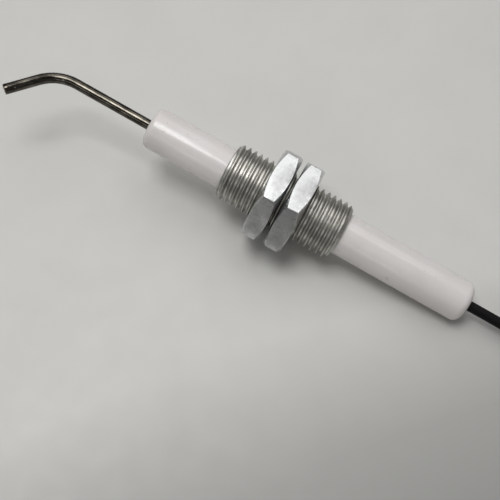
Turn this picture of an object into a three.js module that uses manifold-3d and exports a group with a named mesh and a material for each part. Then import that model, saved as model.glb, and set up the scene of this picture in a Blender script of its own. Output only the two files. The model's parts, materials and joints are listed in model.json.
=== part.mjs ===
/**
 * Ignition electrode of a burner, in millimetres, with +Z up and the surface it lies on at z = 0.
 *
 * The electrode is built along its own axis, which runs along X: the spark tip is at the -X end and the
 * lead leaves at the +X end. On that axis x = 0 is the front face of the threaded bush. The electrode is then
 * tilted, because it lies on one flat of its rear nut and on the rear edge of its insulator. The lead lies on
 * the surface, in a coil, and ends in a push-on terminal.
 */
import * as THREE from "three";
import { mergeVertices } from "three/addons/utils/BufferGeometryUtils.js";
import Module from "manifold-3d";

const wasm = await Module();
wasm.setup();
const degrees = THREE.MathUtils.degToRad;

// Clearances between neighbours
const CLEARANCE = 0.3;
const FIT_CLEARANCE = 0.12;

// Threaded bush, M14 x 1.5
const THREAD_DIAMETER = 14;
const THREAD_PITCH = 1.5;
const BUSH_LENGTH = 30;
const BUSH_WALL = 0.78; // between the thread's root and the bore

// Hexagon nuts, which are thin lock nuts with both ends chamfered
const NUT_WALL = 3.5; // between the thread's outside and a flat
const NUT_THICKNESS = 4.7;
const NUT_FACE_INSET = 0.25; // of the end face's edge from a flat
const NUT_CHAMFER = degrees(30);
const NUT_COUNTERSINK = 0.4;
const FRONT_NUT_START = 9.58;
const NUT_GAP = 1.05;
const FRONT_NUT_TURN = degrees(2.2);

// Ceramic insulator, which stands out of both ends of the bush
const CERAMIC_FRONT_REACH = 20.4;
const CERAMIC_REAR_REACH = 33.5;
const FRONT_EDGE = 1.4;
const REAR_EDGE = 2;
const GROOVE_DEPTH = 0.9;
const GROOVE_LENGTH = 8;
const GROOVE_INSET = 3;
const SEAL_WALL = 1.25;
const SEAL_DEPTH = 3;

// Electrode rod, with a leg bent to the -Y side
const ROD_DIAMETER = 2.5;
const ROD_STAND_OUT = 24.8; // from the insulator's front face to the corner of the bend
const LEG_LENGTH = 13; // from the corner of the bend to the tip
const BEND_ANGLE = degrees(52.3);
const BEND_RADIUS = 10;
const ROD_TAIL = 19.5; // how far the rod reaches behind the step in the insulator's bore

// Retaining collar and splice, behind the step in the insulator's bore
const BORE_STEP = 4;
const COLLAR_LENGTH = 3;
const COLLAR_WALL = 1;
const FERRULE_LENGTH = 14;
const FERRULE_WALL = 0.5;
const ROD_IN_FERRULE = 6.5;
const SLEEVE_WALL = 0.4;
const SLEEVE_OVERLAP = 1;
const SLEEVE_REACH = 3;
const JACKET_STANDOFF = 2;
const POTTING_LENGTH = 10;
const POTTING_RECESS = 1;

// Lead
const LEAD_DIAMETER = 2.5;
const CONDUCTOR_DIAMETER = 1.4;
const LEAD_BURIED_STEPS = 4;
const LEAD_STRAIGHT_OUT = [2, 4, 6, 8]; // along the electrode's axis, from the exit
// The lead's way on from there to the coil: along X from the exit, Y, and height above the surface
const LEAD_ROUTE = [
  [10, -0.04, 3.4],
  [12, -0.3, 3.13],
  [14, -0.85, 2.86],
  [16, -1.55, 2.58],
  [18, -2.35, 2.28],
  [20, -3.13, 1.98],
  [22, -3.85, 1.72],
  [24, -4.45, 1.5],
  [26, -4.85, 1.35],
  [27.8, -5, 1.3],
];

// Coil, whose middle lies beside the lead's way
const COIL_CENTRE = [27.8, 8.75]; // from the exit
const COIL_MEAN_RADIUS = 11.25;
const COIL_TURNS_ACROSS = 3;
const COIL_LAYERS = 2;
const TIE_THICKNESS = 0.6;
const TIE_WIDTH = 2.5;
const TIE_ANGLE = degrees(0);
const TIE_HEAD = [2.4, 3.4, 3]; // out from the coil, along its turns, up

// Tail of the lead, from the coil to the terminal: along X from the coil's centre, and height
const TAIL_ROUTE = [
  [11.4, 3.04],
  [14, 2.6],
  [16, 2.55],
  [18.3, 2.55],
];
const TAIL_SIDE = -12.5; // from the coil's centre

// Push-on terminal, flat 6.3 mm size, in an insulating sleeve
const TERMINAL_HEIGHT = 2.55;
const JACKET_IN_TERMINAL = 2.5;
const BARREL_WALL = 0.35;
const INSULATION_BARREL_LENGTH = 3;
const WIRE_BARREL_LENGTH = 3.5;
const BARREL_GAP = 2;
const CONTACT_OFFSET = 1.7; // from the wire barrel's end to the contact's
const CONTACT_LENGTH = 7;
const CONTACT_WIDTH = 6;
const CONTACT_HEIGHT = 2.4;
const CONTACT_WALL = 0.4;
const CONTACT_SLOT = 2.8;
const LINK_WIDTH = 1.6;
const LINK_OVERLAP = 0.2;
const SLEEVE_MARGIN = 1.4;
const TERMINAL_SLEEVE_WALL = 0.5;

// How finely round shapes are divided
const ROUND_SEGMENTS = 40;
const SMALL_SEGMENTS = 20;
const THREAD_SEGMENTS = 16;
const EDGE_SEGMENTS = 5;
const ROD_SIDES = 12;
const LEAD_SIDES = 8;

// Values worked out from the ones above
const THREAD_DEPTH = 0.6134 * THREAD_PITCH;
const ROOT_RADIUS = THREAD_DIAMETER / 2 - THREAD_DEPTH;
const BUSH_BORE_RADIUS = ROOT_RADIUS - BUSH_WALL;
const CERAMIC_RADIUS = BUSH_BORE_RADIUS - CLEARANCE;
const NUT_INRADIUS = THREAD_DIAMETER / 2 + NUT_WALL;
const NUT_FACE_RADIUS = NUT_INRADIUS - NUT_FACE_INSET;
const ROD_RADIUS = ROD_DIAMETER / 2;
const LEAD_RADIUS = LEAD_DIAMETER / 2;
const CONDUCTOR_RADIUS = CONDUCTOR_DIAMETER / 2;
const CERAMIC_FRONT = -CERAMIC_FRONT_REACH;
const CERAMIC_REAR = BUSH_LENGTH + CERAMIC_REAR_REACH;
const ROD_CORNER = CERAMIC_FRONT - ROD_STAND_OUT;
const ROD_BORE_RADIUS = ROD_RADIUS + FIT_CLEARANCE;
const SEAL_RADIUS = ROD_BORE_RADIUS + SEAL_WALL;
const ROD_END = BORE_STEP + ROD_TAIL;
const FERRULE_START = ROD_END - ROD_IN_FERRULE;
const FERRULE_BORE = ROD_BORE_RADIUS;
const FERRULE_RADIUS = FERRULE_BORE + FERRULE_WALL;
const FERRULE_END = FERRULE_START + FERRULE_LENGTH;
const JACKET_START = FERRULE_END + JACKET_STANDOFF;
const SLEEVE_RADIUS = FERRULE_RADIUS + FIT_CLEARANCE + SLEEVE_WALL;
const REAR_BORE_RADIUS = SLEEVE_RADIUS + CLEARANCE;
const LEAD_BORE_RADIUS = LEAD_RADIUS + FIT_CLEARANCE;
const CERAMIC_FRONT_EDGE = Math.min(FRONT_EDGE, CERAMIC_RADIUS - SEAL_RADIUS);
const CERAMIC_REAR_EDGE = Math.min(REAR_EDGE, CERAMIC_RADIUS - REAR_BORE_RADIUS);
const REAR_NUT_START = FRONT_NUT_START + NUT_THICKNESS + NUT_GAP;
const COIL_BASE = TIE_THICKNESS + CLEARANCE;
const COIL_INNER = COIL_MEAN_RADIUS - (COIL_TURNS_ACROSS * LEAD_DIAMETER) / 2;
const COIL_OUTER = COIL_MEAN_RADIUS + (COIL_TURNS_ACROSS * LEAD_DIAMETER) / 2;
const COIL_TOP = COIL_BASE + COIL_LAYERS * LEAD_DIAMETER;

// The electrode touches the surface with a flat of its rear nut and with the rear edge of its insulator
const NUT_FLAT_INSET = NUT_FACE_INSET * Math.tan(NUT_CHAMFER);
const NUT_CONTACT = REAR_NUT_START + NUT_THICKNESS - NUT_FLAT_INSET;
const EDGE_CENTRE_DISTANCE = CERAMIC_REAR - CERAMIC_REAR_EDGE - NUT_CONTACT;
const EDGE_CENTRE_RISE = NUT_INRADIUS - (CERAMIC_RADIUS - CERAMIC_REAR_EDGE);
const TILT =
  Math.atan2(EDGE_CENTRE_RISE, EDGE_CENTRE_DISTANCE) -
  Math.asin(CERAMIC_REAR_EDGE / Math.hypot(EDGE_CENTRE_DISTANCE, EDGE_CENTRE_RISE));
const AXIS_HEIGHT = NUT_CONTACT * Math.sin(TILT) + NUT_INRADIUS * Math.cos(TILT);

// ---------------------------------------------------------------------------------------------- helpers

/** The volume that a triangle mesh encloses, below zero when its faces point inwards. */
function signedVolume(positions, index) {
  const corner = [new THREE.Vector3(), new THREE.Vector3(), new THREE.Vector3()];
  let volume = 0;
  for (let i = 0; i < index.length; i += 3) {
    corner.forEach((point, k) => point.fromBufferAttribute(positions, index[i + k]));
    volume += corner[0].dot(corner[1].cross(corner[2])) / 6;
  }
  return volume;
}

/** One closed skin: shared vertices merged, empty triangles dropped and faces turned outwards. */
function closedSkin(geometry) {
  const bare = new THREE.BufferGeometry();
  bare.setAttribute("position", geometry.getAttribute("position"));
  bare.setIndex(geometry.index);
  const merged = mergeVertices(bare, 1e-4);
  const index = [];
  for (let i = 0; i < merged.index.count; i += 3) {
    const triangle = [0, 1, 2].map((k) => merged.index.getX(i + k));
    if (new Set(triangle).size === 3) index.push(...triangle);
  }
  if (signedVolume(merged.getAttribute("position"), index) < 0) index.reverse();
  merged.setIndex(index);
  return merged;
}

/** A geometry as a solid that can be joined and cut. */
function solidOf(geometry) {
  const skin = closedSkin(geometry);
  return new wasm.Manifold(
    new wasm.Mesh({
      numProp: 3,
      vertProperties: new Float32Array(skin.getAttribute("position").array),
      triVerts: new Uint32Array(skin.index.array),
    }),
  );
}

/** A joined or cut solid as a geometry again. */
function geometryOf(solid) {
  const mesh = solid.getMesh();
  const geometry = new THREE.BufferGeometry();
  geometry.setAttribute("position", new THREE.BufferAttribute(new Float32Array(mesh.vertProperties), 3));
  geometry.setIndex(new THREE.BufferAttribute(new Uint32Array(mesh.triVerts), 1));
  return geometry;
}

/** A profile of [along, radius] points turned about the X axis. */
function revolved(profile, segments = ROUND_SEGMENTS) {
  const points = profile.map(([along, radius]) => new THREE.Vector2(radius, along));
  return closedSkin(new THREE.LatheGeometry(points, segments).rotateZ(-Math.PI / 2));
}

/** A closed outline of [along, radius] points, off the axis, turned about the X axis. */
function ring(outline, segments) {
  return revolved([...outline, outline[0]], segments);
}

/** A plain tube about the X axis. */
function tube(inner, outer, from, to, segments = SMALL_SEGMENTS) {
  return ring([[from, inner], [from, outer], [to, outer], [to, inner]], segments);
}

/** A plain round bar about the X axis. */
function bar(radius, from, to, segments = SMALL_SEGMENTS) {
  return revolved([[from, 0], [from, radius], [to, radius], [to, 0]], segments);
}

/** A geometry extruded from a shape, turned to run along X with the shape's x on Y. */
function alongX(geometry) {
  const turn = new THREE.Matrix4().makeBasis(
    new THREE.Vector3(0, 1, 0),
    new THREE.Vector3(0, 0, 1),
    new THREE.Vector3(1, 0, 0),
  );
  return closedSkin(geometry.applyMatrix4(turn));
}

/** An arc as [along, radius] points about a centre, with its two ends. */
function edgeArc(centre, radius, startAngle, endAngle) {
  return Array.from({ length: EDGE_SEGMENTS + 1 }, (_, i) => {
    const angle = startAngle + ((endAngle - startAngle) * i) / EDGE_SEGMENTS;
    return [centre[0] + radius * Math.cos(angle), centre[1] + radius * Math.sin(angle)];
  });
}

/** A regular polygon whose corners lie at the given radius. */
function polygon(radius, sides, firstAngle = 0) {
  const points = Array.from({ length: sides }, (_, i) => {
    const angle = firstAngle + (2 * Math.PI * i) / sides;
    return new THREE.Vector2(radius * Math.cos(angle), radius * Math.sin(angle));
  });
  return new THREE.Shape(points);
}

/** A rounded rectangle about the origin, with corners of the given radius. */
function roundedRectangle(width, height, radius) {
  const x = width / 2 - radius;
  const y = height / 2 - radius;
  const outline = new THREE.Path();
  outline.absarc(x, y, radius, 0, Math.PI / 2);
  outline.absarc(-x, y, radius, Math.PI / 2, Math.PI);
  outline.absarc(-x, -y, radius, Math.PI, 1.5 * Math.PI);
  outline.absarc(x, -y, radius, 1.5 * Math.PI, 2 * Math.PI);
  return outline.getPoints(EDGE_SEGMENTS).filter((p, i, all) => p.distanceTo(all.at(i - 1)) > 1e-6);
}

/** A named piece with a material of its own. */
function piece(name, geometry, look) {
  const mesh = new THREE.Mesh(geometry, new THREE.MeshStandardMaterial(look));
  mesh.name = name;
  return mesh;
}

const steelLook = { color: 0xb9bab6, roughness: 0.38, metalness: 1 };
const rodLook = { color: 0x2b2523, roughness: 0.5, metalness: 0.8 };
const ceramicLook = { color: 0xe6dedb, roughness: 0.25, metalness: 0 };
const cementLook = { color: 0xb8b0a2, roughness: 0.95, metalness: 0 };
const brassLook = { color: 0xc2a35c, roughness: 0.35, metalness: 1 };
const copperLook = { color: 0xb87a58, roughness: 0.4, metalness: 1 };
const siliconeLook = { color: 0x6d6a66, roughness: 0.7, metalness: 0 };
const leadLook = { color: 0x151516, roughness: 0.7, metalness: 0 };
const sleeveLook = { color: 0x8c1f1a, roughness: 0.5, metalness: 0 };
const tieLook = { color: 0xd6d5d0, roughness: 0.45, metalness: 0 };

// ----------------------------------------------------------------------------------------- threaded bush

/** The thread's ridge: one section, extruded by the turn and wrapped around as a right-hand helix. */
function threadRidge() {
  const footRadius = ROOT_RADIUS - 0.1 * THREAD_PITCH;
  const crestRadius = THREAD_DIAMETER / 2;
  const crestHalf = THREAD_PITCH / 16;
  const footHalf = crestHalf + (crestRadius - footRadius) * Math.tan(degrees(30));
  const section = new THREE.Shape([
    new THREE.Vector2(-footHalf, footRadius),
    new THREE.Vector2(footHalf, footRadius),
    new THREE.Vector2(crestHalf, crestRadius),
    new THREE.Vector2(-crestHalf, crestRadius),
  ]);
  const turns = Math.ceil(BUSH_LENGTH / THREAD_PITCH) + 2;
  const steps = turns * THREAD_SEGMENTS;
  const ridge = new THREE.ExtrudeGeometry(section, { depth: turns, steps, bevelEnabled: false });
  const positions = ridge.getAttribute("position");
  for (let i = 0; i < positions.count; i += 1) {
    const [along, radius, turn] = [positions.getX(i), positions.getY(i), positions.getZ(i)];
    const angle = 2 * Math.PI * turn;
    const x = along + (turn - 1) * THREAD_PITCH;
    positions.setXYZ(i, x, radius * Math.cos(angle), radius * Math.sin(angle));
  }
  return ridge;
}

/** The bush: core and ridge together, cut to a tube with chamfered ends. */
function threadedBush() {
  const core = bar(ROOT_RADIUS, -THREAD_PITCH, BUSH_LENGTH + THREAD_PITCH, THREAD_SEGMENTS);
  const clear = THREAD_DIAMETER / 2 + CLEARANCE;
  const end = ROOT_RADIUS - FIT_CLEARANCE;
  const chamfer = clear - end;
  const envelope = ring([
    [0, BUSH_BORE_RADIUS],
    [0, end],
    [chamfer, clear],
    [BUSH_LENGTH - chamfer, clear],
    [BUSH_LENGTH, end],
    [BUSH_LENGTH, BUSH_BORE_RADIUS],
  ]);
  return geometryOf(solidOf(core).add(solidOf(threadRidge())).intersect(solidOf(envelope)));
}

// ----------------------------------------------------------------------------------------- hexagon nuts

/** A thin hexagon nut with its front face at x = 0, a flat at the bottom and both ends chamfered. */
function lockNut() {
  const cornerRadius = NUT_INRADIUS / Math.cos(Math.PI / 6);
  const hexagon = alongX(
    new THREE.ExtrudeGeometry(polygon(cornerRadius, 6), { depth: NUT_THICKNESS, bevelEnabled: false }),
  );
  const outside = cornerRadius + CLEARANCE;
  const chamfer = (outside - NUT_FACE_RADIUS) * Math.tan(NUT_CHAMFER);
  const cones = revolved([
    [0, 0],
    [0, NUT_FACE_RADIUS],
    [chamfer, outside],
    [NUT_THICKNESS - chamfer, outside],
    [NUT_THICKNESS, NUT_FACE_RADIUS],
    [NUT_THICKNESS, 0],
  ]);
  const boreRadius = THREAD_DIAMETER / 2 + FIT_CLEARANCE;
  const past = 1;
  const bore = revolved([
    [-past, 0],
    [-past, boreRadius + NUT_COUNTERSINK + past],
    [NUT_COUNTERSINK, boreRadius],
    [NUT_THICKNESS - NUT_COUNTERSINK, boreRadius],
    [NUT_THICKNESS + past, boreRadius + NUT_COUNTERSINK + past],
    [NUT_THICKNESS + past, 0],
  ]);
  return geometryOf(solidOf(hexagon).intersect(solidOf(cones)).subtract(solidOf(bore)));
}

// ---------------------------------------------------------------------------------- insulator and cement

const GROOVE_RADIUS = CERAMIC_RADIUS - GROOVE_DEPTH;
const FRONT_GROOVE = [GROOVE_INSET, GROOVE_INSET + GROOVE_LENGTH];
const REAR_GROOVE = [BUSH_LENGTH - GROOVE_INSET - GROOVE_LENGTH, BUSH_LENGTH - GROOVE_INSET];

/** Two steps down and up again of an outline along a groove in the insulator's outside. */
function grooveOutline([from, to]) {
  return [[from, CERAMIC_RADIUS], [from, GROOVE_RADIUS], [to, GROOVE_RADIUS], [to, CERAMIC_RADIUS]];
}

/** The insulator: rounded ends, two grooves for cement, a seal recess and a stepped bore. */
function ceramicInsulator() {
  const frontCentre = [CERAMIC_FRONT + CERAMIC_FRONT_EDGE, CERAMIC_RADIUS - CERAMIC_FRONT_EDGE];
  const rearCentre = [CERAMIC_REAR - CERAMIC_REAR_EDGE, CERAMIC_RADIUS - CERAMIC_REAR_EDGE];
  return ring([
    [CERAMIC_FRONT, SEAL_RADIUS],
    ...edgeArc(frontCentre, CERAMIC_FRONT_EDGE, Math.PI, Math.PI / 2),
    ...grooveOutline(FRONT_GROOVE),
    ...grooveOutline(REAR_GROOVE),
    ...edgeArc(rearCentre, CERAMIC_REAR_EDGE, Math.PI / 2, 0),
    [CERAMIC_REAR, REAR_BORE_RADIUS],
    [BORE_STEP, REAR_BORE_RADIUS],
    [BORE_STEP, ROD_BORE_RADIUS],
    [CERAMIC_FRONT + SEAL_DEPTH, ROD_BORE_RADIUS],
    [CERAMIC_FRONT + SEAL_DEPTH, SEAL_RADIUS],
  ], ROUND_SEGMENTS);
}

/** A band of cement between one of the insulator's grooves and the bush's bore. */
function bushCement([from, to]) {
  const inner = GROOVE_RADIUS + FIT_CLEARANCE;
  const outer = BUSH_BORE_RADIUS - FIT_CLEARANCE;
  return tube(inner, outer, from + CLEARANCE, to - CLEARANCE);
}

/** The plug of cement around the rod in the insulator's front end. */
function frontSealCement() {
  const from = CERAMIC_FRONT + FIT_CLEARANCE;
  const to = CERAMIC_FRONT + SEAL_DEPTH - FIT_CLEARANCE;
  return tube(ROD_BORE_RADIUS, SEAL_RADIUS - FIT_CLEARANCE, from, to);
}

// ------------------------------------------------------------------------------------------- electrode rod

/** The rod's centre line, by distance: straight from the tail, round the bend, then out to the tip. */
class RodPath extends THREE.Curve {
  constructor() {
    super();
    this.cut = BEND_RADIUS * Math.tan(BEND_ANGLE / 2);
    this.bendStart = ROD_CORNER + this.cut;
    this.straight = ROD_END - this.bendStart;
    this.arc = BEND_RADIUS * BEND_ANGLE;
    this.leg = LEG_LENGTH - this.cut;
    this.total = this.straight + this.arc + this.leg;
  }

  getPoint(t, target = new THREE.Vector3()) {
    const distance = t * this.total;
    if (distance <= this.straight) return target.set(ROD_END - distance, 0, 0);
    const angle = Math.min((distance - this.straight) / BEND_RADIUS, BEND_ANGLE);
    const past = Math.max(distance - this.straight - this.arc, 0);
    const x = this.bendStart - BEND_RADIUS * Math.sin(angle) - past * Math.cos(angle);
    const y = -BEND_RADIUS * (1 - Math.cos(angle)) - past * Math.sin(angle);
    return target.set(x, y, 0);
  }

  getTangent(t, target = new THREE.Vector3()) {
    const angle = THREE.MathUtils.clamp((t * this.total - this.straight) / BEND_RADIUS, 0, BEND_ANGLE);
    return target.set(-Math.cos(angle), -Math.sin(angle), 0);
  }
}

/** The rod as one round section along its path. */
function electrodeRod() {
  const path = new RodPath();
  const steps = Math.round(path.total / ROD_RADIUS);
  const section = polygon(ROD_RADIUS, ROD_SIDES, Math.PI / ROD_SIDES);
  return closedSkin(new THREE.ExtrudeGeometry(section, { extrudePath: path, steps }));
}

// -------------------------------------------------------------------------------------------- lead and coil

/** A tube of lead through hand-set points. */
function leadTube(points) {
  const path = new THREE.CatmullRomCurve3(points, false, "centripetal");
  const section = polygon(LEAD_RADIUS, LEAD_SIDES, Math.PI / LEAD_SIDES);
  const steps = Math.round(path.getLength() / LEAD_DIAMETER);
  return closedSkin(new THREE.ExtrudeGeometry(section, { extrudePath: path, steps }));
}

/** A point on the tilted electrode's axis. */
function axisPoint(x) {
  return new THREE.Vector3(x * Math.cos(TILT), 0, AXIS_HEIGHT - x * Math.sin(TILT));
}

const EXIT = axisPoint(CERAMIC_REAR);
const COIL_X = EXIT.x + COIL_CENTRE[0];
const COIL_Y = COIL_CENTRE[1];

/** The lead from the splice, out of the insulator's rear end and down to the coil. */
function leadRun() {
  const buried = Array.from({ length: LEAD_BURIED_STEPS + 1 }, (_, i) =>
    axisPoint(THREE.MathUtils.lerp(JACKET_START, CERAMIC_REAR, i / LEAD_BURIED_STEPS)),
  );
  const reach = COIL_OUTER + LEAD_RADIUS + CLEARANCE;
  const straight = LEAD_STRAIGHT_OUT.map((along) => axisPoint(CERAMIC_REAR + along));
  const free = LEAD_ROUTE.filter(([x, y]) => Math.hypot(x - COIL_CENTRE[0], y - COIL_CENTRE[1]) > reach);
  return leadTube([...buried, ...straight, ...free.map(([x, y, z]) => new THREE.Vector3(EXIT.x + x, y, z))]);
}

/** The space that the coil's turns fill. */
function leadCoil() {
  const outline = [
    [COIL_BASE, COIL_INNER],
    [COIL_BASE, COIL_OUTER],
    [COIL_TOP, COIL_OUTER],
    [COIL_TOP, COIL_INNER],
  ];
  return ring(outline, ROUND_SEGMENTS).rotateY(-Math.PI / 2).translate(COIL_X, COIL_Y, 0);
}

/** The tie: a strap around the coil's section, with its head on the outside. */
function coilTie() {
  const inner = [COIL_INNER - CLEARANCE, COIL_OUTER + CLEARANCE];
  const heights = [TIE_THICKNESS, COIL_TOP + CLEARANCE];
  const strap = new THREE.Shape([
    new THREE.Vector2(inner[0] - TIE_THICKNESS, 0),
    new THREE.Vector2(inner[1] + TIE_THICKNESS, 0),
    new THREE.Vector2(inner[1] + TIE_THICKNESS, heights[1] + TIE_THICKNESS),
    new THREE.Vector2(inner[0] - TIE_THICKNESS, heights[1] + TIE_THICKNESS),
  ]);
  strap.holes.push(new THREE.Path([
    new THREE.Vector2(inner[0], heights[0]),
    new THREE.Vector2(inner[0], heights[1]),
    new THREE.Vector2(inner[1], heights[1]),
    new THREE.Vector2(inner[1], heights[0]),
  ]));
  const loop = new THREE.ExtrudeGeometry(strap, { depth: TIE_WIDTH, bevelEnabled: false });
  loop.rotateX(Math.PI / 2).translate(0, TIE_WIDTH / 2, 0);
  const head = new THREE.BoxGeometry(...TIE_HEAD);
  head.translate(inner[1] + TIE_HEAD[0] / 2, 0, (TIE_THICKNESS + heights[1]) / 2);
  return geometryOf(solidOf(loop).add(solidOf(head))).rotateZ(TIE_ANGLE).translate(COIL_X, COIL_Y, 0);
}

/** The lead from the coil into the terminal. */
function leadTail() {
  const points = TAIL_ROUTE.map(([x, z]) => new THREE.Vector3(COIL_X + x, COIL_Y + TAIL_SIDE, z));
  return leadTube(points);
}

// ------------------------------------------------------------------------------------------------ terminal

const JACKET_END = TAIL_ROUTE.at(-1)[0];
const BARREL_START = JACKET_END - JACKET_IN_TERMINAL;
const BARREL_END = BARREL_START + INSULATION_BARREL_LENGTH;
const WIRE_BARREL_START = BARREL_END + BARREL_GAP;
const WIRE_BARREL_END = WIRE_BARREL_START + WIRE_BARREL_LENGTH;
const CONTACT_START = WIRE_BARREL_END + CONTACT_OFFSET;
const CONTACT_END = CONTACT_START + CONTACT_LENGTH;

/** A geometry made on the terminal's own axis, moved to where the terminal lies. */
function atTerminal(geometry) {
  return geometry.translate(COIL_X, COIL_Y + TAIL_SIDE, TERMINAL_HEIGHT);
}

/** A flat link under the terminal's axis, between two of its sections. */
function terminalLink(from, to, top) {
  const length = to - from + 2 * LINK_OVERLAP;
  const link = new THREE.BoxGeometry(length, LINK_WIDTH, top + CONTACT_HEIGHT / 2);
  return link.translate((from + to) / 2, 0, (top - CONTACT_HEIGHT / 2) / 2);
}

/** The contact: a flat channel whose two sides curl over the top and leave a slot. */
function terminalContact() {
  const [x, y] = [CONTACT_WIDTH / 2, CONTACT_HEIGHT / 2];
  const [inX, inY] = [x - CONTACT_WALL, y - CONTACT_WALL];
  const slot = CONTACT_SLOT / 2;
  const outline = [[-slot, y], [-x, y], [-x, -y], [x, -y], [x, y], [slot, y], [slot, inY], [inX, inY]];
  const inside = [[inX, -inY], [-inX, -inY], [-inX, inY], [-slot, inY]];
  const section = new THREE.Shape([...outline, ...inside].map(([a, b]) => new THREE.Vector2(a, b)));
  const channel = new THREE.ExtrudeGeometry(section, { depth: CONTACT_LENGTH, bevelEnabled: false });
  return alongX(channel).translate(CONTACT_START, 0, 0);
}

/** The receptacle: insulation barrel, wire barrel and contact, joined by flat links. */
function terminalReceptacle() {
  const insulationInner = LEAD_RADIUS + FIT_CLEARANCE;
  const wireInner = CONDUCTOR_RADIUS + FIT_CLEARANCE;
  const insulation = tube(insulationInner, insulationInner + BARREL_WALL, BARREL_START, BARREL_END);
  const wire = tube(wireInner, wireInner + BARREL_WALL, WIRE_BARREL_START, WIRE_BARREL_END);
  const firstLink = terminalLink(BARREL_END, WIRE_BARREL_START, -wireInner - LINK_OVERLAP / 2);
  const secondLink = terminalLink(WIRE_BARREL_END, CONTACT_START, -wireInner - LINK_OVERLAP / 2);
  const sections = [wire, terminalContact(), firstLink, secondLink].map(solidOf);
  return atTerminal(geometryOf(sections.reduce((whole, section) => whole.add(section), solidOf(insulation))));
}

/** The sleeve: a flat oval tube around the whole receptacle. */
function terminalSleeve() {
  const width = CONTACT_WIDTH + 2 * CLEARANCE;
  const height = 2 * (TERMINAL_HEIGHT - TERMINAL_SLEEVE_WALL);
  const wall = TERMINAL_SLEEVE_WALL;
  const outer = roundedRectangle(width + 2 * wall, height + 2 * wall, height / 2);
  const section = new THREE.Shape(outer);
  section.holes.push(new THREE.Path(roundedRectangle(width, height, height / 2 - wall).reverse()));
  const length = CONTACT_END - BARREL_START + 2 * SLEEVE_MARGIN;
  const sleeve = alongX(new THREE.ExtrudeGeometry(section, { depth: length, bevelEnabled: false }));
  return atTerminal(sleeve.translate(BARREL_START - SLEEVE_MARGIN, 0, 0));
}

/** The stripped conductor between the lead's jacket and the end of the wire barrel. */
function terminalConductor() {
  return atTerminal(bar(CONDUCTOR_RADIUS, JACKET_END + CLEARANCE, WIRE_BARREL_END - CLEARANCE));
}

// ------------------------------------------------------------------------------------------------ assembly

const electrode = new THREE.Group();
const frontNut = piece("front_lock_nut", lockNut(), steelLook);
frontNut.position.x = FRONT_NUT_START;
frontNut.rotation.x = FRONT_NUT_TURN;
const rearNut = piece("rear_lock_nut", lockNut(), steelLook);
rearNut.position.x = REAR_NUT_START;
const collar = tube(ROD_BORE_RADIUS, ROD_BORE_RADIUS + COLLAR_WALL, 0, COLLAR_LENGTH);
const ferrule = tube(FERRULE_BORE, FERRULE_RADIUS, FERRULE_START, FERRULE_END);
const conductor = bar(CONDUCTOR_RADIUS, ROD_END + CLEARANCE, JACKET_START - CLEARANCE);
const sleeveStart = FERRULE_START - SLEEVE_OVERLAP;
const sleeve = tube(FERRULE_RADIUS + FIT_CLEARANCE, SLEEVE_RADIUS, sleeveStart, FERRULE_END + SLEEVE_REACH);
const pottingEnd = CERAMIC_REAR - POTTING_RECESS;
const pottingRadius = REAR_BORE_RADIUS - FIT_CLEARANCE;
const potting = tube(LEAD_BORE_RADIUS, pottingRadius, pottingEnd - POTTING_LENGTH, pottingEnd);
electrode.add(
  piece("electrode_rod", electrodeRod(), rodLook),
  piece("ceramic_insulator", ceramicInsulator(), ceramicLook),
  piece("threaded_bush", threadedBush(), steelLook),
  frontNut,
  rearNut,
  piece("front_bush_cement", bushCement(FRONT_GROOVE), cementLook),
  piece("rear_bush_cement", bushCement(REAR_GROOVE), cementLook),
  piece("front_seal_cement", frontSealCement(), cementLook),
  piece("rod_retaining_collar", collar.translate(BORE_STEP + CLEARANCE, 0, 0), steelLook),
  piece("splice_ferrule", ferrule, brassLook),
  piece("splice_conductor", conductor, copperLook),
  piece("splice_sleeve", sleeve, siliconeLook),
  piece("rear_potting", potting, siliconeLook),
);
electrode.rotation.y = TILT;
electrode.position.z = AXIS_HEIGHT;

const whole = new THREE.Group();
whole.add(
  electrode,
  piece("lead_run", leadRun(), leadLook),
  piece("lead_coil", leadCoil(), leadLook),
  piece("lead_tail", leadTail(), leadLook),
  piece("coil_tie", coilTie(), tieLook),
  piece("terminal_conductor", terminalConductor(), copperLook),
  piece("terminal_receptacle", terminalReceptacle(), brassLook),
  piece("terminal_sleeve", terminalSleeve(), sleeveLook),
);

// The origin is under the middle of the electrode's own box
const middle = new THREE.Box3().setFromObject(electrode, true).getCenter(new THREE.Vector3());
whole.position.set(-middle.x, -middle.y, 0);

export default whole;
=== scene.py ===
"""The looks of a burner's ignition electrode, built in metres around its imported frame.

The electrode lies tilted on a plain surface, on a flat of its rear nut and on the rear edge of its insulator.
Pieces that turn about the electrode's own axis are drawn in its own place (X along the axis, from the front
face of the threaded bush) and keep that place in the vector attribute own_place, which their finishes read.
"""

import json
import logging
import math
from collections.abc import Sequence
from dataclasses import dataclass, field
from enum import Enum

import bmesh
import bpy
import numpy as np
from mathutils import Matrix, Vector


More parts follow.
